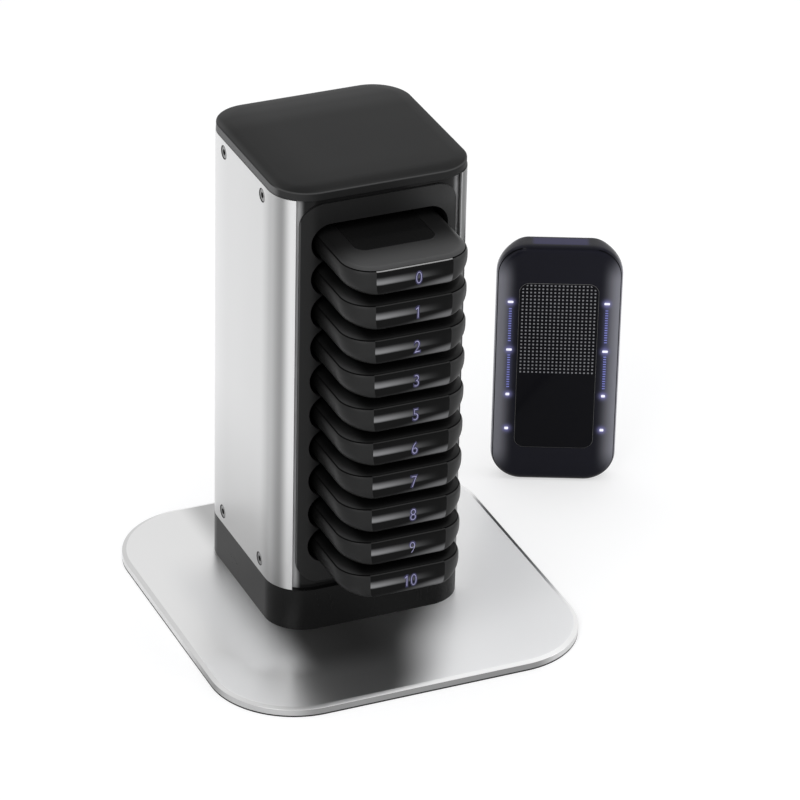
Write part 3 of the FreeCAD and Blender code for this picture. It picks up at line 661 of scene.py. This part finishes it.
# %% Outlines and stacks
def outline(width, depth, radius, angles, centre=(0.0, 0.0), support=0.8):
    """Feet and directions of a rounded rectangle, counter-clockwise.

    angles run from 0 on the short end's side of a corner to 90 degrees on the long side. A point is
    foot + direction * (radius - inset). Two support points stand on every straight, close to its corners.
    """
    turn = np.radians(np.asarray(angles, float))
    east = np.column_stack([np.sin(turn), np.cos(turn)])
    reach = np.array([width / 2 - radius, depth / 2 - radius])
    feet, units = [], []
    for sx, sy, flip in ((1, -1, 1), (1, 1, -1), (-1, 1, 1), (-1, -1, -1)):
        unit = (east * (sx, sy))[::flip]
        foot = np.tile(reach * (sx, sy), (len(unit), 1))
        inward = np.array([[-sx, 0], [0, -sy]])[::flip] * support
        foot = np.vstack([foot[:1] + inward[:1], foot, foot[-1:] + inward[1:]])
        feet.append(foot)
        units.append(np.vstack([unit[:1], unit, unit[-1:]]))
    return np.vstack(feet) + centre, np.vstack(units), radius


def ring(shape, inset, height, end_inset=None):
    """One ring of an outline: foot + direction * (radius - inset), with its own inset in y if given."""
    foot, unit, radius = shape
    reach = np.array([radius - inset, radius - (inset if end_inset is None else end_inset)])
    return np.column_stack([foot + unit * reach, np.full(len(foot), float(height))])


def stack(rings):
    """A closed skin through rings of equal length: quads between neighbours, and a lid at both ends."""
    count, rows = len(rings[0]), len(rings)
    row, col = np.arange(rows - 1)[:, None] * count, np.arange(count)
    after = (col + 1) % count
    quads = np.stack([row + col, row + after, row + count + after, row + count + col], -1).reshape(-1, 4)
    lids = [list(range(count))[::-1], list(range((rows - 1) * count, rows * count))]
    return np.vstack(rings), quads.tolist() + lids


def moulded(shape, profile):
    """The stack of an outline's rings at pairs of inset and height."""
    return stack([ring(shape, inset, height) for inset, height in profile])


def shell(outer, inner, keep, floor_lid):
    """The wall between two grids of rings, for the cells where keep is true, closed along every border.

    outer and inner are (rows, count, 3). keep is (rows - 1, count). Its last axis runs round the outline.
    """
    rows, count = outer.shape[:2]
    index = np.arange(rows * count).reshape(rows, count)
    far = np.roll(index, -1, axis=1)
    a, b, c, d = index[:-1], far[:-1], far[1:], index[1:]
    skip = rows * count
    closed = np.vstack([np.ones((1, count), bool), keep, np.zeros((1, count), bool)])
    low, high = keep & ~closed[:-2], keep & ~closed[2:]
    left, right = keep & ~np.roll(keep, 1, axis=1), keep & ~np.roll(keep, -1, axis=1)
    parts = [np.stack([a, b, c, d], -1)[keep], np.stack([d, c, b, a], -1)[keep] + skip]
    for first, second, rim in ((d, c, high), (b, a, low), (c, b, right), (a, d, left)):
        parts.append(np.stack([first, second, second + skip, first + skip], -1)[rim])
    faces = np.vstack(parts).tolist()
    if floor_lid:
        faces += [index[0][::-1].tolist(), (index[0] + skip).tolist()]
    points = np.vstack([outer.reshape(-1, 3), inner.reshape(-1, 3)])
    used = np.unique(np.concatenate([np.array(face) for face in faces]))
    renumber = np.zeros(len(points), int)
    renumber[used] = np.arange(len(used))
    return points[used], [renumber[np.array(face)].tolist() for face in faces]


def reworked(mesh, *steps):
    """Run steps on a mesh while it is open as a bmesh."""
    form = bmesh.new()
    form.from_mesh(mesh)
    for step in steps:
        step(form)
    form.to_mesh(mesh)
    form.free()


def new_mesh(name, points, faces):
    """A mesh from points in mm, with its faces turned outward."""
    mesh = bpy.data.meshes.new(name)
    mesh.from_pydata((np.asarray(points) * MM).tolist(), [], faces)
    reworked(mesh, lambda form: bmesh.ops.recalc_face_normals(form, faces=form.faces))
    return mesh


def face_heights(points, faces):
    """The mean height of each face's corners."""
    return np.array([points[face, 2].mean() for face in faces])


def baked(item, *helpers):
    """Points and faces of an object as its modifiers or its text make them. The objects are deleted."""
    bpy.context.view_layer.update()
    mesh = item.evaluated_get(bpy.context.evaluated_depsgraph_get()).to_mesh()
    points, faces = coordinates(mesh), [list(face.vertices) for face in mesh.polygons]
    for used in (item, *helpers):
        bpy.data.objects.remove(used)
    return points, faces


def joined(parts):
    """Several (points, faces) as one."""
    starts = np.cumsum([0] + [len(part[0]) for part in parts]).tolist()
    faces = [[number + start for number in face] for start, part in zip(starts, parts) for face in part[1]]
    return np.vstack([part[0] for part in parts]), faces


def dressed(mesh, body, materials, replaced, sharp, pick=None):
    """A visible piece from a mesh: finishes, smooth faces between sharp edges, and its place in the frame.

    pick gives the number of each face's material.
    """
    mesh.materials.clear()
    for material in materials:
        mesh.materials.append(material)
    if pick is not None and len(materials) > 1:
        mesh.polygons.foreach_set("material_index", np.asarray(pick, np.int32))
    mesh.shade_smooth()
    mesh.set_sharp_from_angle(angle=math.radians(sharp))
    piece = placed(mesh.name, mesh)
    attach(piece, body)
    for node in replaced:
        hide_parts(node)
    return piece


def make_piece(name, points, faces, body, slot, materials, replaced=(), local=None, pick=None, sharp=32.0):
    """A piece from points in mm and faces. local is a vector for each point, kept for the shaders."""
    mesh = new_mesh(name, points, faces)
    if local is not None:
        mesh.attributes.new("local", "FLOAT_VECTOR", "POINT").data.foreach_set("vector", np.ravel(local))
    return dressed(mesh, body, materials, replaced, sharp, pick)


def soft_edges(piece, radius, sharp):
    """Round every edge sharper than an angle with a small bevel."""
    soft = piece.modifiers.new("soft_edges", "BEVEL")
    soft.width, soft.segments, soft.limit_method = radius * MM, 3, "ANGLE"
    soft.angle_limit, soft.harden_normals = math.radians(sharp), True


# %% [markdown]
# ## Base plate and top cap
#
# The plate is cut from sheet and has a bevel round its upper edge. The cap is a moulded lid: its side stands
# upright, turns over a tight edge, and then rises in a long soft slope to a flat top. Both are ring stacks.
# A bevel that is a sharp knife edge looks false, so each turn of the profile is a short arc of rings.


# %% Base plate
def eased(profile, radius=0.2, steps=4):
    """A profile of (inset, height) points whose inner corners are turned into small arcs.

    Each corner is replaced by a quadratic curve between two points at the given distance from it.
    """
    profile = np.asarray(profile, float)
    before, corner, after = profile[:-2], profile[1:-1], profile[2:]

    def toward(point, other):
        step = other - point
        length = np.linalg.norm(step, axis=1, keepdims=True)
        return point + step / length * np.minimum(radius, length * 0.45)
    start, stop = toward(corner, before), toward(corner, after)
    t = np.linspace(0, 1, steps + 1)[None, :, None]
    curves = (1 - t) ** 2 * start[:, None] + 2 * t * (1 - t) * corner[:, None] + t ** 2 * stop[:, None]
    return np.vstack([profile[:1], curves.reshape(-1, 2), profile[-1:]])


plate_shape = outline(PLATE.width, PLATE.depth, PLATE.radius, np.linspace(0, 90, 33), support=2.0)
points, faces = moulded(plate_shape, eased(
    [(2.0, PLATE.low), (0.0, PLATE.low), (0.0, PLATE.top - PLATE.drop), (PLATE.run, PLATE.top),
     (PLATE.run + 3, PLATE.top)], radius=0.25))
below_top = PLATE.top - face_heights(points, faces)
TOP_PLAY, BEVEL_PLAY = 0.04, 0.05       # mm, how far below a level a face still belongs to it
on_top, on_bevel = below_top < TOP_PLAY, below_top < PLATE.drop + BEVEL_PLAY
# The bevel and the side face take darker copies of the plate's steel: painted shade.
side_pick = np.where(on_top, 0, np.where(on_bevel, 2, 1))
make_piece("base_plate_skin", points, faces, "tower", "plate_steel",
           [PLATE_SATIN, PLATE_EDGE, PLATE_BEVEL], ["base_plate"], pick=side_pick, sharp=12.0)
# The pad's skin reaches almost to the plate's edge, nearer than in the CAD model: its real black rubber also
# serves as a painted shadow line under the plate.
PAD_INSET = 0.08                        # mm
pad = moulded(plate_shape, [(PAD_INSET, 0.0), (PAD_INSET, PLATE.low)])
make_piece("rubber_pad_skin", *pad, "tower", "pad_rubber", [PAD_RUBBER], ["rubber_pad"])
print("plate:", len(faces), "faces")


# %% Top cap
def crown(share):
    """Height share of the cap's slope: it leaves the edge steeply and lies down into the flat top."""
    return 1 - (1 - share) ** 1.7


cap_shape = outline(COLUMN.width, COLUMN.depth, COLUMN.radius, np.linspace(0, 90, 25),
                    (0.0, COLUMN.setback), support=2.0)
slope = np.linspace(0, 1, 14)[1:]
shoulder = CAP.top - CAP.rise
edge = eased([(3.0, COLUMN.top), (CAP.inset, COLUMN.top), (CAP.inset, shoulder),
              (CAP.inset + 0.9, shoulder + CAP.rise * 0.16)], radius=0.45, steps=6)
lid = np.column_stack([CAP.inset + CAP.run * slope, shoulder + CAP.rise * crown(slope)])
points, faces = moulded(cap_shape, np.vstack([edge[:-1], lid]))
make_piece("top_cap_skin", points, faces, "tower", "cap_metal", [CAP_CHARCOAL], ["top_cap"])
print("cap:", len(faces), "faces")

# %% [markdown]
# ## Side panels
#
# Each side is one strip of satin metal bent round the two corners of the column. The strip is a sweep: the
# same thin section at every step of the path. Its cuts at the front and the back run straight in depth, so
# the outer and the inner skin end at different angles of the corner arc.


# %% Panels and their screws
AROUND = 48                             # points round a screw


def panel_path(inset, steps=26):
    """(x, y) along the left panel at one inset, from its rear edge to its front edge."""
    radius = COLUMN.radius - inset
    reach = math.acos((PANEL.edge - PANEL.core) / radius)
    turn = np.linspace(0, reach, steps)
    front = np.column_stack([-PANEL.core - radius * np.cos(turn), PANEL.front - radius * np.sin(turn)])
    rear = np.column_stack([-PANEL.core - radius * np.cos(turn), PANEL.rear + radius * np.sin(turn)])
    return np.vstack([rear[::-1], front])


def panel_distance(x, y):
    """How far a point of the panel lies from its front edge, along the outline, in mm."""
    radius = COLUMN.radius
    reach = math.acos((PANEL.edge - PANEL.core) / radius)
    over = np.abs(x) - PANEL.core
    front = (reach - np.arctan2(np.maximum(PANEL.front - y, 0), over)) * radius
    rear = np.arctan2(np.maximum(y - PANEL.rear, 0), over) * radius
    return front + np.clip(y - PANEL.front, 0, PANEL.rear - PANEL.front) + rear


def turned(profile, hexagon=()):
    """A ring stack round an axis from pairs of radius and depth. Rings named in hexagon are six-sided."""
    around = np.linspace(0, 2 * np.pi, AROUND, endpoint=False)
    flat = math.cos(math.pi / 6) / np.cos((around % (math.pi / 3)) - math.pi / 6)
    sizes = [radius * (flat if number in hexagon else 1) for number, (radius, depth) in enumerate(profile)]
    return stack([np.column_stack([size * np.cos(around), size * np.sin(around), np.full(AROUND, -depth)])
                  for size, (radius, depth) in zip(sizes, profile)])


def onto_side(points, side, place, height):
    """Turn a screw's points so that its axis runs across, with its face flush with a side panel."""
    x, y, z = np.asarray(points).T
    return np.column_stack([side * (COLUMN.width / 2 + z), place + x, height + side * y])


def at_screws(form, side):
    """A form made by turned() at the four screw places of one side."""
    return [(onto_side(form[0], side, place, height), form[1])
            for height in SCREW.rows for place in SCREW.places]


def make_panel(side, name):
    """A swept strip with four countersunk holes, and soft edges from a bevel."""
    outer, inner = panel_path(0.0), panel_path(PANEL.wall)
    low, high = np.full(len(outer), COLUMN.low), np.full(len(outer), COLUMN.top)
    lines = [np.column_stack([outer, low]), np.column_stack([outer, high]),
             np.column_stack([inner, high]), np.column_stack([inner, low])]
    rings = np.stack(lines, axis=1) * (-side, 1, 1)
    blank = placed(name + "_blank", new_mesh(name + "_blank", *stack(rings)))
    hole = turned([(SCREW.hole + 0.5, -0.5), (SCREW.hole, 0.0), (SCREW.bore, 1.8), (SCREW.bore, 3.0)])
    cutter = placed(name + "_cutter", new_mesh(name + "_cutter", *joined(at_screws(hole, side))))
    cut = blank.modifiers.new("holes", "BOOLEAN")
    cut.operation, cut.object, cut.solver = "DIFFERENCE", cutter, "EXACT"
    corners, rest = baked(blank, cutter)
    corners /= MM
    local = np.column_stack([panel_distance(corners[:, 0], corners[:, 1]), corners[:, 1:]])
    piece = make_piece(name + "_skin", corners, rest, "tower", "panel_metal",
                       [PANEL_SATIN if side < 0 else RIGHT_SATIN], [name], local=local, sharp=35)
    soft_edges(piece, 0.25, 35)
    return piece


panels = [make_panel(-1, "side_panel_left"), make_panel(1, "side_panel_right")]
profile = [(1.9, 8.0), (1.9, 2.0), (2.1, 1.78), (SCREW.hole - 0.03, 0.12), (SCREW.hole - 0.08, 0.06),
           (SCREW.head, 0.34), (SCREW.head - 0.15, 0.26), (1.8, 0.26), (1.55, 0.36), (1.45, 1.5), (0.01, 1.7)]
socket = turned(profile, hexagon=(8, 9))
band = np.append(np.repeat(np.arange(len(profile) - 1), AROUND), (0, len(profile)))
# The gap round each head and its socket take screw_ring: painted shade in these recesses.
gap, key_hole = np.isin(band, (2, 3, 4)), band >= 7
one_pick = np.where(gap | key_hole, 1, 0)
heads = joined(at_screws(socket, -1) + at_screws(socket, 1))
make_piece("panel_screws_skin", *heads, "tower", "screw_steel", [SCREW_STEEL, SCREW_RING], ["panel_screws"],
           pick=np.tile(one_pick, 8))
print("panels:", [len(panel.data.polygons) for panel in panels], "screws:", len(heads[1]))

# %% [markdown]
# ## Front bezel and rear cover
#
# The bezel is one moulding with a raised field and a row of slots that run into each other. Its form is
# already in the frame, so the skin is a copy of it: the flat triangles are joined to whole faces, and then
# every sharp edge gets the small radius that a mould always leaves.


# %% Soft copies
def soft_copy(node, radius, material, sharp=32.0, weld=0.001, flat=0.4):
    """A copy of a CAD node with its flat faces joined and its sharp edges rounded by a bevel.

    weld is the distance in mm under which points join, and flat the angle in degrees under which faces do.
    """
    mesh = nodes[node].data.copy()
    mesh.name = node + "_skin"
    mesh.transform(nodes[node].matrix_world)
    if "custom_normal" in mesh.attributes:
        mesh.attributes.remove(mesh.attributes["custom_normal"])
    reworked(mesh, lambda form: bmesh.ops.remove_doubles(form, verts=form.verts, dist=weld * MM),
             lambda form: bmesh.ops.dissolve_limit(form, angle_limit=math.radians(flat), verts=form.verts,
                                                   edges=form.edges))
    piece = dressed(mesh, "tower", [material], [node], sharp)
    soft_edges(piece, radius, sharp)
    return piece


GROUND_INSET, GROUND_PLAY = 3.3, 0.15   # mm, the ground's depth inside the column's outline, and a tolerance


def outline_inset(points):
    """How far points in metres lie inside the column's outline, measured across its wall, in mm."""
    x, y = np.abs(points[:, 0] / MM) - PANEL.core, PANEL.front - points[:, 1] / MM
    return COLUMN.radius - np.where(x > 0, np.hypot(np.maximum(x, 0), y), y)


bezel = soft_copy("front_bezel", 0.35, FIELD_BLACK)
from_ground = np.abs(outline_inset(coordinates(bezel.data)) - GROUND_INSET)
on_ground = np.array([from_ground[list(face.vertices)].max() < GROUND_PLAY for face in bezel.data.polygons])
bezel.data.materials.append(GROUND_GLOSS)
bezel.data.polygons.foreach_set("material_index", on_ground.astype(np.int32))
cover = soft_copy("rear_cover", 0.3, BEZEL_BLACK)
print("bezel:", len(bezel.data.polygons), "faces, cover:", len(cover.data.polygons))

# %% [markdown]
# ## The pagers
#
# A pager is two moulded shells with a clear window in one end and a glossy panel in its face. Seen from
# above it is a rounded rectangle. Its long sides are undercut with a large arc, so that a finger gets under
# them, while its ends have only a small one. Every ring therefore has two insets, one in x and one in y.


# %% Pager profile
def fall(distance, radius):
    """How far a quarter arc of the given radius has drawn in, at a distance from its tangent point."""
    return radius - np.sqrt(np.maximum(radius ** 2 - np.clip(distance, 0, radius) ** 2, 0))


def pager_insets(height):
    """Side inset and end inset of the pager's ring at a height."""
    top = fall(height - (PAGER.height - PAGER.high), PAGER.high)
    side = fall(PAGER.side - height, PAGER.side) + top
    end = fall(PAGER.low - height, PAGER.low) + top
    return side, end


window_turn = math.degrees(math.asin((PAGER.window / 2 - PAGER.width / 2 + PAGER.radius) / PAGER.radius))
corner_angles = np.concatenate([np.linspace(0, window_turn, 6), np.linspace(window_turn, 90, 19)[1:]])
pager_shape = outline(PAGER.width, PAGER.length, PAGER.radius, corner_angles, (0.0, PAGER.length / 2))
bend = np.linspace(0, math.pi / 2, 9)
crest = PAGER.height - PAGER.high
LIP, LEAST_STEP = 0.28, 0.04            # the gap line between the shells, and between two rings
heights = np.concatenate([PAGER.low * (1 - np.cos(bend)), PAGER.side * (1 - np.cos(bend)),
                          [PAGER.sill, PAGER.sill + 0.15], crest + PAGER.high * np.sin(bend)])
heights = np.unique(heights[heights < PAGER.seam - 0.6].round(3))
heights = np.concatenate([heights[:1], heights[1:][np.diff(heights) > LEAST_STEP]])
rows = [(height, 0.0) for height in heights]
rows += [(PAGER.seam - 0.5, 0.0), (PAGER.seam - LIP, 0.0), (PAGER.seam, LIP)]
print("pager rings:", len(rows), "points in a ring:", len(pager_shape[0]))


def pager_ring(height, extra=0.0, drawn=None):
    """A ring of the pager's outside at a height, with an extra inset. drawn puts it at another height."""
    side, end = pager_insets(height)
    return ring(pager_shape, side + extra, height if drawn is None else drawn, end + extra)


def lifted(height):
    """Height of the inner skin that belongs to a height on the outer skin."""
    return PAGER.wall + height * (PAGER.seam - PAGER.wall) / PAGER.seam


# %% Lower shell and window from the same two grids
outer_grid = np.stack([pager_ring(height, extra) for height, extra in rows])
inner_grid = np.stack([pager_ring(height, PAGER.wall, lifted(height)) for height, extra in rows])
edge_sine = math.sin(math.radians(window_turn)) + 1e-6
flat_enough = (np.abs(pager_shape[1][:, 0]) < edge_sine) & (pager_shape[1][:, 1] < 0)
front_cell = flat_enough & np.roll(flat_enough, -1)
row_height = np.array([height for height, extra in rows])
above_sill = (row_height[:-1] >= PAGER.sill - 1e-6)
in_window = above_sill[:, None] & front_cell[None, :]
LEDGE = Sizes(drop=0.50, rise=0.40, inset=0.67)
ledge_start = PAGER.seam - LEDGE.drop
lens_grid = outer_grid.copy()
lens_grid[-2] = pager_ring(ledge_start, LEDGE.inset, ledge_start + LEDGE.rise)
lens_grid[-1] = pager_ring(ledge_start, LEDGE.inset + 0.1, PAGER.seam - 0.02)
base_points, base_faces = shell(outer_grid, inner_grid, ~in_window, True)
lens_points, lens_faces = shell(lens_grid, inner_grid, in_window, False)
under_seam = PAGER.seam - face_heights(lens_points, lens_faces)
ledge_pick = ((under_seam < LEDGE.drop - 0.1) & (under_seam > 0.05)).astype(int)
print("lower shell:", len(base_faces), "window:", len(lens_faces), "ledge:", int(ledge_pick.sum()))

# %% Upper shell with its recess, and the glossy panel
top, floor_of_recess = PAGER.height, PAGER.height - GLASS.depth
recess_shape, glass_shape = (outline(GLASS.width + 2 * gap, GLASS.length + 2 * gap, GLASS.radius + gap,
                                     corner_angles, (0.0, GLASS.start + GLASS.length / 2))
                             for gap in (GLASS.gap, 0.0))
roof = crest + PAGER.high * np.sin(np.linspace(math.asin((PAGER.seam + LIP - crest) / PAGER.high),
                                               math.pi / 2, 9))
cover_points, cover_faces = stack(
    [pager_ring(PAGER.seam, LIP + 0.02, PAGER.seam + 0.01)] + [pager_ring(height) for height in roof]
    + [pager_ring(top, 0.6), ring(recess_shape, -0.1, top), ring(recess_shape, 0.0, top - 0.1),
       ring(recess_shape, 0.0, floor_of_recess)])
glass_points, glass_faces = moulded(glass_shape, eased(
    [(1.0, floor_of_recess + GLASS.sunk), (0.0, floor_of_recess + GLASS.sunk), (0.0, top - GLASS.bevel),
     (GLASS.bevel, top - GLASS.sunk), (1.2, top - GLASS.sunk)], radius=0.06, steps=3))
print("upper shell:", len(cover_faces), "panel:", len(glass_faces))

# %% [markdown]
# ## Placing the pagers
#
# Ten of them lie in the rack with the window to the front, and one stands on its rear end beside the
# tower. The two placings are functions on arrays of local points, so that every piece of a pager, its
# shells as well as its number, goes through the same one.


# %% Placings
def docked(points, place):
    """Local points of a pager to its slot, counted from the top."""
    return np.asarray(points) + (0.0, FRONT, TOP_UNDERSIDE - PITCH * place)


def standing(points):
    """Local points to the pager that stands on its rear end, turned to the camera's side."""
    x, y, z = np.asarray(points).T
    east, north, height = -x, PAGER.height / 2 - z, PAGER.length - y
    cosine, sine = math.cos(STAND.turn), math.sin(STAND.turn)
    return np.column_stack([STAND.x + east * cosine - north * sine,
                            STAND.y + east * sine + north * cosine, height])


# The lips at the seam between the shells take seam_dark: painted shade in the gap.
base_pick = (face_heights(base_points, base_faces) > PAGER.seam - 0.6 * LIP).astype(int)
cover_pick = (np.arange(len(cover_faces)) < len(pager_shape[0])).astype(int)
under_top = top - face_heights(glass_points, glass_faces)
glass_pick = ((under_top < GLASS.bevel - 0.01) & (under_top > GLASS.sunk + 0.001)).astype(int)
SKINS = (("base", base_points, base_faces, base_pick, "pager_plastic"),
         ("cover", cover_points, cover_faces, cover_pick, "pager_plastic"),
         ("window", lens_points, lens_faces, ledge_pick, "window_plastic"),
         ("panel", glass_points, glass_faces, glass_pick, "window_plastic"))


def make_pager(body, placing, replaced, finishes):
    """The four skins of one pager. placing turns its own points into the frame's."""
    for (title, points, faces, pick, slot), node, materials in zip(SKINS, replaced, finishes):
        make_piece("%s_%s_skin" % (body, title), placing(points), faces, body, slot, materials,
                   ["%s_%s" % (body, node)], local=points, pick=pick)


for place, number in enumerate(NUMBERS):
    # A pager under another takes the painted-shade copies of shell and ledge; the top one the ledge's painted
    # highlight.
    top_shell, ledge = (SHADED_LOWER_SHELL, LEDGE_DIM) if place else (PAGER_SHELL, LEDGE_SHINE)
    make_pager("pager_%d" % number, partial(docked, place=place), ("base", "cover", "lenses", "lenses"),
               ([PAGER_SHELL, SEAM_DARK], [top_shell, SEAM_DARK], [PAGER_WINDOW, ledge], [PAGER_GLOSS]))
make_pager("pager_4", standing, ("base", "cover", "window", "face_panel"),
           ([LIT_SHELL, SEAM_DARK], [LIT_SHELL, SEAM_DARK], [LIT_WINDOW], [LIT_PANEL, PANEL_EDGE]))
print("pager pieces:", 4 * (len(NUMBERS) + 1))

# %% [markdown]
# ## Numbers and lamps
#
# Each docked pager shows its number through the window. The figures are narrow upright strokes. They start
# as text in the built-in font, become plain meshes, and are then drawn to the height and width of a real
# display. A slightly bolder dark blue copy behind each one is the bleed of light in the pane.


# %% Figures
def figure_points(text, spread):
    """A text as mesh points and faces, one unit high per font size. spread makes its strokes bolder."""
    curve = bpy.data.curves.new("figure", "FONT")
    curve.body, curve.offset, curve.extrude, curve.resolution_u = text, spread, 0.01, 6
    return baked(placed("figure", curve))


FIGURE = Sizes(height=6.7, width=3.1, right=2.1, middle=7.3, depth=0.03)
figure_scale = np.array([FIGURE.width, FIGURE.height]) / np.ptp(figure_points("0", -0.03)[0][:, :2], axis=0)


def flag_of_one(flat, depth, spread, overlap=0.30, reach=1.15):
    """The short slanted stroke at the head of a 1: a prism that leaves the bar at its top, to the left."""
    left, top_edge = flat[:, 0].min(), flat[:, 1].max()
    thick = 0.52 + max(spread, 0.0) * 16
    corner = np.array([[left + overlap, top_edge], [left - reach, top_edge - reach],
                       [left - reach, top_edge - reach - thick], [left + overlap, top_edge - thick]])
    return stack([np.column_stack([corner, np.full(4, level)]) for level in (depth.min(), depth.max())])


def figure_on_window(text, spread, proud):
    """A number's points in the pager's own coordinates, centred on its place in the window."""
    points, faces = figure_points(text, spread)
    flat = points[:, :2] * figure_scale
    flat -= (flat.min(axis=0) + flat.max(axis=0)) / 2
    points = np.column_stack([flat, points[:, 2]])
    if text[0] == "1":
        points, faces = joined([(points, faces), flag_of_one(flat, points[:, 2], spread)])
    depth = np.where(points[:, 2] > 0, -proud, FIGURE.depth)
    return np.column_stack([points[:, 0] + FIGURE.right, depth, points[:, 1] + FIGURE.middle]), faces


for place, number in enumerate(NUMBERS):
    body = "pager_%d" % number
    for title, spread, proud, material in (("halo", 0.050, 0.015, FIGURE_HALO),
                                           ("figure", -0.030, 0.030, FIGURE_LIGHT)):
        points, faces = figure_on_window(str(number), spread, proud)
        make_piece("%s_%s" % (body, title), docked(points, place), faces, body, "display_glass", [material])
print("figures:", len(NUMBERS))

# %% Lamps and dashes of the standing pager
DASH = Sizes(length=1.7, width=0.62, pitch=1.62, spans=((40.2, 14), (70.8, 14)))
LIFT = 0.03


def tile(x, y, width, length, radius):
    """A thin rounded tile on the pager's face, from just under it to just above it."""
    shape = outline(width, length, radius, np.linspace(0, 90, 4), (x, y), support=0.02)
    return moulded(shape, [(0.0, top - 0.05), (0.0, top + LIFT / 2), (0.05, top + LIFT)])


lamp_tiles = [tile(side * LAMPS.column, row, size[0], size[1], 0.45)
              for side in (-1, 1) for row, size in zip(LAMPS.rows, LAMPS.sizes)]
dash_tiles = [tile(side * LAMPS.column, start + step * DASH.pitch, DASH.length, DASH.width, 0.2)
              for side in (-1, 1) for start, count in DASH.spans for step in range(count)]
lamp_points, lamp_faces = joined(lamp_tiles)
dash_points, dash_faces = joined(dash_tiles)
make_piece("pager_4_lamps", standing(lamp_points), lamp_faces, "pager_4", "led_plastic", [LAMP_WHITE])
make_piece("pager_4_dashes", standing(dash_points), dash_faces, "pager_4", "led_plastic", [DASH_BLUE])
print("lamps:", len(lamp_tiles), "dashes:", len(dash_tiles))
